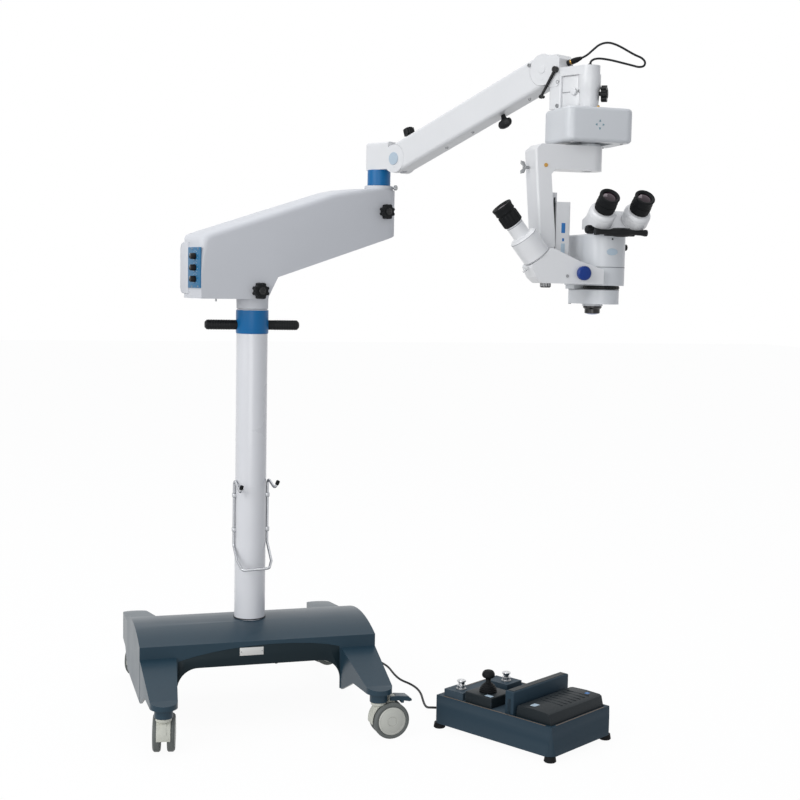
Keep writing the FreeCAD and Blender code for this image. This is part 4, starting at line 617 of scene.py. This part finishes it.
wing_place = BEAM @ shift(0.365, 0, -0.0423) @ UNDER @ Matrix.Diagonal((1, 0.48, 1, 1))
wing_knob = turned("wing_knob", [
    (0, -0.004), (0.0062, -0.004), (0.0075, 0.004), (0.0100, 0.008), (0.0180, 0.0105), (0.0205, 0.0150),
    (0.0208, 0.0200), (0.0180, 0.0252), (0.0100, 0.0290), (0, 0.0300)], BLACK, "tension_knob", wing_place, around=72)
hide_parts("tension_knob")
turned("height_lock_top", [(0.0125, 0), (0.0118, 0.0022), (0.006, 0.0034), (0, 0.0036)], BLACK, "height_lock_knob",
       BEAM @ shift(0.052, 0, 0.0623))


# Arm end: socket, plug, clamp lever, screws
turned("socket_black", [(0.0073, 0.0002), (0.0073, 0.0062), (0.0057, 0.0072), (0.0057, 0.0078)], GLOSS_BLACK,
       "arm_end", SOCKET, closed=True)
turned("socket_brass", [(0.0058, 0.0078), (0.0060, 0.0082), (0.0060, 0.0118), (0.0058, 0.0122)], BRASS, "arm_end",
       SOCKET, closed=True)
turned("plug_boot", [(0.0067, 0.0128), (0.0068, 0.0132), (0.0068, 0.0200), (0.0062, 0.0240), (0.0066, 0.0246),
                     (0.0058, 0.0280), (0.0060, 0.0286), (0.0048, 0.0330), (0.0050, 0.0336), (0.0036, 0.0398),
                     (0.0026, 0.0402)], RUBBER, "arm_end", SOCKET, closed=True)
for index, height in enumerate((-0.0325, -0.0877)):
    screw(f"end_screw_{index}", 0.0048, "arm_end", TIP @ shift(0.0475, -0.0239, height) @ FRONT)
turned("clamp_button", [(0.0082, 0), (0.0082, 0.0050), (0.0072, 0.0062), (0, 0.0064)], WHITE, "arm_end",
       TIP @ shift(0.093, -0.0190, -0.058) @ FRONT)
web = [(0.050, -0.094), (0.078, -0.094), (0.100, -0.094), (0.106, -0.088), (0.106, -0.020), (0.050, -0.020)]
plate("end_web", web, 0.034, WHITE, "arm_end", TIP @ shift(0, 0.017, 0) @ FRONT, soft=0.003)
turned("hub_shoulder", [
    (0.0195, -0.0965), (0.0212, -0.0965), (0.0222, -0.0900), (0.0244, -0.0560), (0.0262, -0.0520), (0.0262, -0.0205),
    (0.0240, -0.0200)], WHITE, "arm_end", HUB, around=96, closed=True)
screw("clamp_bolt", 0.0046, "arm_end", TIP @ shift(0.109, -0.0188, -0.058) @ FRONT)
# The split of the clamp is a line of painted shadow
block("clamp_split", (0.026, 0.0006, 0.0012), SEAM_SHADOW, "arm_end", TIP @ shift(0.071, -0.0190, -0.058), soft=0.0002,
      rounds=1)
turned("spindle_brass", [(0.0036, 0), (0.0036, 0.006), (0.0028, 0.0072), (0, 0.0074)], BRASS, "arm_end",
       TIP @ shift(HUB_REACH, 0, -0.094) @ turn("Z", 20) @ shift(0.0186, 0, 0) @ turn("Y", 90), around=24)
turned("lead_grommet", [(0.0026, 0), (0.0060, 0), (0.0060, 0.0014), (0.0040, 0.0050), (0.0026, 0.0052)], RUBBER,
       "arm_end", HUB, closed=True, around=32)
lever = TIP @ shift(0.044, -0.0263, -0.004)
turned("lever_hub", [(0.0072, 0), (0.0074, 0.001), (0.0074, 0.0082), (0.0066, 0.0092), (0.003, 0.0096), (0, 0.0096)],
       GLOSS_BLACK, "clamp_lever", lever @ FRONT, around=32)
bar_between("lever_rod", (0, -0.0055, 0), (-0.0398, -0.0055, -0.0592), 0.0031, GLOSS_BLACK, "clamp_lever", lever)
bar_between("lever_grip", (-0.0392, -0.0055, -0.0582), (-0.0300, -0.0055, -0.0622), 0.0036, GLOSS_BLACK,
            "clamp_lever", lever)


# Cross slide box: direction mark on its front face and screws
for index, (dx, dz, lean) in enumerate(((0, 0.0088, 0), (0, -0.0088, 180), (0.0088, 0, -90), (-0.0088, 0, 90))):
    place = HEAD @ shift(-0.004 + dx, -0.0726, -0.1415 + dz) @ FRONT @ turn("Z", lean)
    plate(f"slide_arrow_{index}", [(-0.0028, -0.0022), (0.0028, -0.0022), (0, 0.0030)], 0.0005, MARK_GREY, "head",
          place, soft=0.0001)
for index, (x, y) in enumerate(((-0.062, -0.050), (0.062, -0.050), (-0.062, 0.050), (0.062, 0.050))):
    screw(f"box_under_screw_{index}", 0.0036, "head", HEAD @ shift(x, y, -0.1799) @ UNDER)
turned("slide_neck", [(0.0302, 0), (0.0302, 0.0008), (0.0296, 0.0014), (0.0200, 0.0022)], GREY_WHITE, "lower_plate",
       HEAD @ shift(0, 0, -0.1825))


# Focus arm and carriage
screw("focus_arm_screw", 0.0046, "focus_arm", HEAD @ shift(-0.1175, -0.0339, -0.2343) @ FRONT, BRASS)
wing = HEAD @ shift(-0.1425, 0.006, -0.238) @ turn("Y", -90)
bar_between("wing_stem", (0, 0, 0), (0, 0, 0.011), 0.0035, SCREW, "focus_arm", wing)
plate("wing_leaf", [(-0.013, 0.0035), (-0.015, 0.012), (-0.008, 0.0125), (-0.003, 0.007), (0.003, 0.007),
                    (0.008, 0.0125), (0.015, 0.012), (0.013, 0.0035), (0.004, 0), (-0.004, 0)], 0.0030, SCREW,
                    "focus_arm", wing @ shift(0, 0, 0.0085) @ FRONT @ shift(0, 0, -0.0015), soft=0.0006)
for name, low, high, left, right, material in (
        ("upper", -0.387, -0.364, -0.0725, -0.0630, MARK_BLUE),
        ("lower", -0.406, -0.399, -0.0700, -0.0650, MARK_BLUE),
        ("strip", -0.448, -0.411, -0.0725, -0.0630, MARK_PALE)):
    middle = HEAD @ shift((left + right) / 2, -0.0290, (low + high) / 2)
    block("carriage_mark_" + name, (right - left, 0.0008, high - low), material, "focus_carriage", middle,
          soft=0.0002, rounds=2)
# A strip of painted shadow beside the focus rail
block("rail_painted_shadow", (0.0030, 0.004, 0.118), GAP_SHADE, "focus_arm", HEAD @ shift(-0.0882, -0.0205, -0.365),
      soft=0.0005)


# Optics body
def body_outline(half, out, steps=40):
    """The plan of the optics body's front, from its left flank round to the right one."""
    points = [(0.025 - half - out, 0.046)]
    for step in range(steps + 1):
        angle = math.pi + math.pi * step / steps
        points.append((0.025 + (half + out) * math.cos(angle), -0.045 + (half + out) * math.sin(angle)))
    points.append((0.025 + half + out, 0.046))
    return points


def band(name, half, out, low, high, material, body, place, inner=-0.0006):
    """A thin band that follows the body's front at some height."""
    outer_line = body_outline(half, out)
    inner_line = body_outline(half, inner)
    form = bmesh.new()
    rows = [[form.verts.new((x, y, z)) for x, y in line]
            for line, z in ((inner_line, low), (outer_line, low), (outer_line, high), (inner_line, high))]
    for first, second in zip(rows, rows[1:] + rows[:1]):
        for step in range(len(first) - 1):
            form.faces.new((first[step], first[step + 1], second[step + 1], second[step]))
    form.faces.new([row[0] for row in rows])
    form.faces.new([row[-1] for row in rows][::-1])
    return new_piece(name, form, material, body, place)


# The seam and the lower lip round the body are bands of painted shadow
band("optics_seam", 0.052, 0.0003, -0.4648, -0.4632, SEAM_SHADOW, "scope", HEAD)
band("optics_lower_lip", 0.041, 0.0006, -0.5165, -0.5150, SEAM_SHADOW, "scope", HEAD)
badge = HEAD @ shift(0.025, -0.045, -0.429)
oval = [(0.0135 * math.cos(math.radians(a)), 0.0078 * math.sin(math.radians(a))) for a in range(0, 360, 12)]
plate("bare_badge", oval, 0.0016, PALE_BLUE, "scope", badge @ shift(0, -0.0518, 0) @ FRONT, soft=0.0005)
turned("body_side_knob",
       [(0, 0), (0.0050, 0), (0.0052, 0.004), (0.0074, 0.005), (0.0074, 0.011), (0.0064, 0.012), (0, 0.012)], BLACK,
       "scope", HEAD @ shift(0.0768, -0.040, -0.417) @ turn("Y", 90), around=32)
# The small hole in the body's front is a disc of painted shade
turned("body_hole", [(0.0022, 0), (0.0022, 0.0004), (0, 0.0004)], GAP_SHADE, "scope",
       badge @ shift(0, -0.0518, 0.029) @ FRONT, around=20)
for index, (x, y) in enumerate(((-0.018, 0.034), (0.068, 0.034))):
    screw(f"optics_under_screw_{index}", 0.0034, "scope", HEAD @ shift(x, y, -0.5489) @ UNDER)
turned("objective_glass", [(0.0152, -0.0002), (0.0152, -0.0012), (0.0100, -0.0030), (0, -0.0038)], OBJECTIVE_GLASS,
       "scope", HEAD @ shift(0.025, 0, -0.571), around=48)
for index in range(30):
    angle = index * 12
    place = HEAD @ shift(0.025, -0.045, -0.5105) @ turn("Z", angle) @ shift(0.0411, 0, 0)
    block(f"ring_rib_{index}", (0.0010, 0.0030, 0.0050), BLACK, "magnification_knob", place, soft=0.0004, rounds=1)


# Binocular: barrels, cups and lenses
def eyepiece(name, body, place):
    """The black eyecup with its fluted ring, and its lens, along +Z."""
    turned(name + "_cup", [
        (0.0180, 0.0335), (0.0218, 0.0345), (0.0226, 0.0352), (0.0226, 0.0395), (0.0232, 0.0400),
        (CUP_RADIUS, 0.0410, ("flute", 40, 0.0007)), (CUP_RADIUS, 0.0520, ("flute", 40, 0.0007)), (0.0230, 0.0530),
        (0.0218, 0.0536), (0.0218, 0.0552), (0.0226, 0.0560), (0.0230, 0.0600), (0.0222, 0.0650), (0.0226, 0.0690),
        (CUP_RADIUS, 0.0727), (0.0232, 0.0744), (0.0224, 0.0754), (0.0208, 0.0758), (0.0186, 0.0752),
        (0.0170, 0.0740), (0.0158, 0.0724), (0.0150, 0.0706)], RUBBER, body, place, around=96, closed=True)
    turned(name + "_lens", [(0.0158, 0.0706), (0.0120, 0.0726), (0.0060, 0.0737), (0, 0.0740)], GLASS, body,
           place, around=64)


for name, side in (("left", -1), ("right", 1)):
    place = BINO @ shift(0.043 * side, -0.069, 0.025) @ turn("X", 45)
    barrel = turned(f"eyepiece_{name}_barrel", [
        (0, 0), (0.0285, 0), (0.0305, 0.0012), (0.0310, 0.0024), (0.0310, 0.0200), (0.0304, 0.0206), (0.0304, 0.0218),
        (0.0308, 0.0224), (0.0306, 0.0262), (0.0285, 0.0300), (0.0262, 0.0322), (0.0190, 0.0332), (0.0170, 0.0342),
        (0.0170, 0.0380), (0, 0.0380)], WHITE, f"eyepiece_{name}", place, around=96)
    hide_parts(f"eyepiece_{name}")
    eyepiece(f"eyepiece_{name}", f"eyepiece_{name}", place)
    turned(f"dioptre_dot_{name}", [(0.0014, 0), (0.0014, 0.0004), (0, 0.0005)], PLATE_WHITE, f"eyepiece_{name}",
           place @ turn("Z", -100) @ shift(0.0308, 0, 0.012) @ turn("Y", 90), around=16)
screw("bridge_screw", 0.0050, "scope", BINO @ shift(0, -0.0552, 0.0382) @ turn("X", 45))
bridge = BINO @ shift(0, -0.0930, -0.0010) @ turn("Y", 90)
turned("bridge_bar", [
    (0, -0.064), (0.0074, -0.064), (0.0078, -0.060), (0.0060, -0.050), (0.0056, -0.034), (0.0066, -0.026),
    (0.0094, -0.018), (0.0104, -0.008), (0.0104, 0.008), (0.0094, 0.018), (0.0066, 0.026), (0.0056, 0.034),
    (0.0060, 0.050), (0.0078, 0.060), (0.0074, 0.064), (0, 0.064)], BLACK, "scope", bridge, around=48)
block("bridge_plate", (0.070, 0.016, 0.007), BLACK, "scope", BINO @ shift(0, -0.0860, -0.0060), soft=0.002)
for side in (-1, 1):
    place = BINO @ shift(0, -0.057, 0.005) @ turn("Y", 90 * side)
    for index in range(18):
        angle = index * 20
        block(f"bar_rib_{'left' if side < 0 else 'right'}_{index}", (0.0008, 0.0016, 0.0120), BLACK, "pd_knobs",
              place @ turn("Z", angle) @ shift(0.0096, 0, 0.0590), soft=0.0003, rounds=1)
turned("bino_ring_black",
       [(0.0372, 0.0012), (0.0382, 0.0014), (0.0384, 0.0030), (0.0384, 0.0068), (0.0380, 0.0078), (0.0372, 0.0080)],
       BLACK, "scope", BINO, around=96, closed=True)


# Assistant's tube
cup = turned("assist_barrel_black", [
    (0, 0.0923), (0.0205, 0.0923), (0.0222, 0.0932), (CUP_RADIUS, 0.0948, ("flute", 14, 0.0022)),
    (CUP_RADIUS, 0.1180, ("flute", 14, 0.0022)), (0.0222, 0.1200), (0.0214, 0.1208), (0.0214, 0.1230),
    (0.0226, 0.1238), (CUP_RADIUS, 0.1252), (0.0228, 0.1300), (0.0230, 0.1330), (0.0245, 0.1398), (0.0238, 0.1416),
    (0.0215, 0.1419), (0.0180, 0.1400), (0.0160, 0.1372), (0, 0.1370)], RUBBER, "assistant_eyepiece", ASSIST,
    around=112)
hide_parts("assistant_eyepiece")
turned("assist_lens", [(0.0160, 0.1371), (0.0110, 0.1386), (0, 0.1394)], GLASS, "assistant_eyepiece", ASSIST)
# The seams round the tube are rings of painted shadow
for name, height, radius in (("low", 0.0006, 0.0332), ("middle", 0.0530, 0.0331), ("high", 0.0880, 0.0202)):
    turned("assist_seam_" + name, [(radius - 0.001, 0), (radius, 0.0002), (radius, 0.0011), (radius - 0.001, 0.0013)],
           SEAM_SHADOW, "scope", ASSIST @ shift(0, 0, height), closed=True, around=96)
turned("assist_under_knob_black", [
    (0, -0.0008), (0.0100, -0.0008), (0.0123, 0.0014, ("flute", 20, 0.0008)), (0.0123, 0.0090, ("flute", 20, 0.0008)),
    (0, 0.0090)], BLACK, "scope", HEAD @ shift(-0.130, -0.080, -0.512), around=80)
pin = HEAD @ shift(-0.176, -0.086, -0.470) @ turn("Y", -129)
bar_between("assist_pin", (0, 0, 0), (0, 0, 0.0150), 0.0024, STEEL, "scope", pin)
screw("assist_screw", 0.0036, "scope", HEAD @ shift(-0.090, -0.1099, -0.486) @ FRONT)
turned("tilt_knob_cap", [(0.0120, 0), (0.0118, 0.0010), (0.0060, 0.0018), (0, 0.0020)], KNOB_BLUE, "tilt_knob",
       HEAD @ shift(-0.053, -0.1258, -0.479) @ FRONT)


# Foot control
TOP = CONTROL @ shift(0, 0, CONTROL_TOP)
for name, start, end in (("front", (-0.158, -0.1165), (0.158, -0.1165)), ("right", (0.1745, -0.098), (0.1745, 0.100)),
                         ("left", (-0.1745, -0.098), (-0.1745, 0.100)), ("back", (-0.158, 0.1165), (0.158, 0.1165))):
    start, end = Vector(start), Vector(end)
    middle = (start + end) / 2
    way = end - start
    place = TOP @ shift(middle.x, middle.y, 0.0001) @ turn("Z", math.degrees(math.atan2(way.y, way.x)))
    block("rim_" + name, (way.length, 0.0035, 0.0008), RIM_TAN, "base", place, soft=0.0003, rounds=1)
for name, x, y, high in (("left", -0.130, -0.082, 0.018), ("right", -0.103, 0.066, 0.014)):
    button = turned(f"silver_button_{name}", [
        (0, -0.009), (0.0086, -0.009), (0.0086, high + 0.0070), (0.0108, high + 0.0078), (0.0112, high + 0.0090),
        (0.0108, high + 0.0106), (0.0084, high + 0.0122), (0.0080, high + 0.0150), (0.0086, high + 0.0172),
        (0.0110, high + 0.0184), (0.0114, high + 0.0196), (0.0112, high + 0.0216), (0.0100, high + 0.0226),
        (0.0060, high + 0.0226), (0.0054, high + 0.0218), (0, high + 0.0216)], STEEL, f"foot_button_{name}",
        TOP @ shift(x, y, 0), around=64)
    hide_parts(f"foot_button_{name}")
    turned(f"button_collar_{name}", [(0.0092, 0), (0.0128, 0), (0.0128, 0.0016), (0.0118, 0.0026), (0.0092, 0.0026)],
           SCREW, "base", TOP @ shift(x, y, high), closed=True, around=48)
for name, x0, x1, y0, y1, deep, high in (
        ("right", 0.063, 0.167, -0.108, 0.110, 0.014, 0.027), ("left", -0.041, 0.027, 0.018, 0.106, 0.012, 0.020)):
    middle = (x0 + x1) / 2
    side_view = [(x0, -0.008), (middle, -deep), (x1, -0.008), (x1 - 0.001, 0.004), (x1 - 0.006, high - 0.003),
                 (x1 - 0.012, high), (middle, high + 0.0015), (x0 + 0.012, high), (x0 + 0.004, high - 0.002),
                 (x0 + 0.001, 0.004)]
    rocker = plate(f"rocker_{name}", side_view, y1 - y0, CONTROL_DARK, "pedal_" + name, TOP @ shift(0, y1, 0) @ FRONT,
                   soft=0.002)
    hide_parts("pedal_" + name)
    for index in range(7):
        y = y0 + (y1 - y0) * (0.34 + 0.50 * index / 6)
        block(f"tread_{name}_{index}", ((x1 - x0) * 0.62, 0.0034, 0.0022), CONTROL_DARK, "pedal_" + name,
              TOP @ shift(middle, y, high + 0.0010), soft=0.0008, rounds=2)
    block(f"pedal_mark_white_{name}", (0.016, 0.020, 0.0010), MARK_PALE, "pedal_" + name,
          TOP @ shift(x0 + (x1 - x0) * 0.34, y0 + (y1 - y0) * 0.13, high + 0.0007) @ turn("Y", -2), soft=0.0003,
          rounds=1)
    block(f"pedal_mark_blue_{name}", (0.010, 0.012, 0.0010), MARK_BLUE, "pedal_" + name,
          TOP @ shift(x0 + (x1 - x0) * 0.66, y1 - (y1 - y0) * 0.09, high + 0.0007) @ turn("Y", 2), soft=0.0003,
          rounds=1)
block("divider", (0.026, 0.226, 0.058), CONTROL_BLUE, "base", TOP @ shift(0.0450, 0.001, 0.0275), soft=0.003)
block("divider_top", (0.018, 0.214, 0.0012), CONTROL_DARK, "base", TOP @ shift(0.0450, 0.001, 0.0570), soft=0.0004,
      rounds=1)
block("joystick_deck", (0.0835, 0.0835, 0.0275), CONTROL_DARK, "base", TOP @ shift(-0.051, -0.071, 0.0125),
      soft=0.003)
block("joystick_mark", (0.020, 0.012, 0.0008), MARK_PALE, "base", TOP @ shift(-0.026, -0.100, 0.0262), soft=0.0003,
      rounds=1)
STICK = TOP @ shift(-0.052, -0.072, -0.004)
stick = turned("joystick_boot", [
    (0, -0.008), (0.0100, -0.008), (0.0126, 0), (0.0100, 0.006), (0.0090, 0.020), (0.0190, 0.0285), (0.0218, 0.0310),
    (0.0222, 0.0340), (0.0206, 0.0350), (0.0208, 0.0384), (0.0190, 0.0394), (0.0190, 0.0426), (0.0166, 0.0436),
    (0.0160, 0.0466), (0.0130, 0.0476), (0.0116, 0.0506), (0.0080, 0.0524), (0.0064, 0.0560), (0.0062, 0.0620),
    (0.0080, 0.0640), (0.0128, 0.0660), (0.0154, 0.0690), (0.0160, 0.0722), (0.0157, 0.0756), (0.0142, 0.0794),
    (0.0110, 0.0828), (0.0066, 0.0844), (0, 0.0848)], RUBBER, "joystick", STICK, around=72)
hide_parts("joystick")
FEET_TOP = 0.0141  # the box's faces below this are its rubber feet
box_mesh = nodes["foot_control_box"].data
box_mesh.materials.append(RUBBER)
for face in box_mesh.polygons:
    face.material_index = int(all(box_mesh.vertices[v].co.z < FEET_TOP for v in face.vertices))
box_mesh.set_sharp_from_angle(angle=math.radians(EDGE_ANGLE))


# Stage, lights and world
def bright_rays(tree, path, share):
    """1 (times a share) for the rays that show the pale background: camera, glossy and transmission rays."""
    either = tree.nodes.new("ShaderNodeMath")
    either.operation = "MAXIMUM"
    tree.links.new(path.outputs["Is Camera Ray"], either.inputs[0])
    tree.links.new(path.outputs["Is Glossy Ray"], either.inputs[1])
    every = tree.nodes.new("ShaderNodeMath")
    every.operation = "MAXIMUM"
    tree.links.new(either.outputs[0], every.inputs[0])
    tree.links.new(path.outputs["Is Transmission Ray"], every.inputs[1])
    part = tree.nodes.new("ShaderNodeMath")
    part.operation = "MULTIPLY"
    part.inputs[1].default_value = share
    tree.links.new(every.outputs[0], part.inputs[0])
    return part.outputs[0]


floor_form = bmesh.new()
bmesh.ops.create_grid(floor_form, x_segments=1, y_segments=1, size=14)
floor_mesh = bpy.data.meshes.new("floor")
floor_form.to_mesh(floor_mesh)
floor_form.free()
floor = added("floor", floor_mesh)
floor_finish = bpy.data.materials.new("pale_floor")
floor_finish.use_nodes = True
floor_tree = floor_finish.node_tree
floor_tree.nodes["Principled BSDF"].inputs["Base Color"].default_value = (0.45, 0.45, 0.45, 1)
floor_tree.nodes["Principled BSDF"].inputs["Roughness"].default_value = 0.9
floor_seen = floor_tree.nodes.new("ShaderNodeLightPath")
floor_white = floor_tree.nodes.new("ShaderNodeEmission")
floor_white.inputs["Strength"].default_value = 1.06
floor_pick = floor_tree.nodes.new("ShaderNodeMixShader")
floor_tree.links.new(bright_rays(floor_tree, floor_seen, 0.90), floor_pick.inputs["Fac"])
floor_tree.links.new(floor_tree.nodes["Principled BSDF"].outputs["BSDF"], floor_pick.inputs[1])
floor_tree.links.new(floor_white.outputs["Emission"], floor_pick.inputs[2])
floor_tree.links.new(floor_pick.outputs["Shader"], floor_tree.nodes["Material Output"].inputs["Surface"])
floor.data.materials.append(floor_finish)
floor.location = (0, 6, -0.0003)


def area_light(name, place, target, size, power):
    light = added(name, bpy.data.lights.new(name, "AREA"))
    light.data.size = size
    light.data.energy = power
    light.location = place
    light.rotation_euler = (Vector(target) - Vector(place)).to_track_quat("-Z", "Y").to_euler()


area_light("key", (-4.2, -2.4, 2.8), (0.1, 0, 0.9), 3.6, 138)
area_light("fill", (-1.4, -4.9, 0.8), (0.3, 0, 0.9), 2.6, 56)
area_light("top", (0.4, 0.6, 4.8), (0.2, 0, 0.6), 3.0, 60)
world = bpy.data.worlds.new("world")
bpy.context.scene.world = world
world.use_nodes = True
sky = world.node_tree
seen = sky.nodes.new("ShaderNodeLightPath")
back = sky.nodes["Background"]
back.inputs["Color"].default_value = (0.9, 0.93, 1.0, 1)
back.inputs["Strength"].default_value = 0.50
white = sky.nodes.new("ShaderNodeBackground")
white.inputs["Color"].default_value = (1, 1, 1, 1)
pick = sky.nodes.new("ShaderNodeMixShader")
sky.links.new(bright_rays(sky, seen, 1), pick.inputs["Fac"])
sky.links.new(back.outputs["Background"], pick.inputs[1])
sky.links.new(white.outputs["Background"], pick.inputs[2])
sky.links.new(pick.outputs["Shader"], sky.nodes["World Output"].inputs["Surface"])
bpy.context.scene.view_settings.view_transform = "Standard"
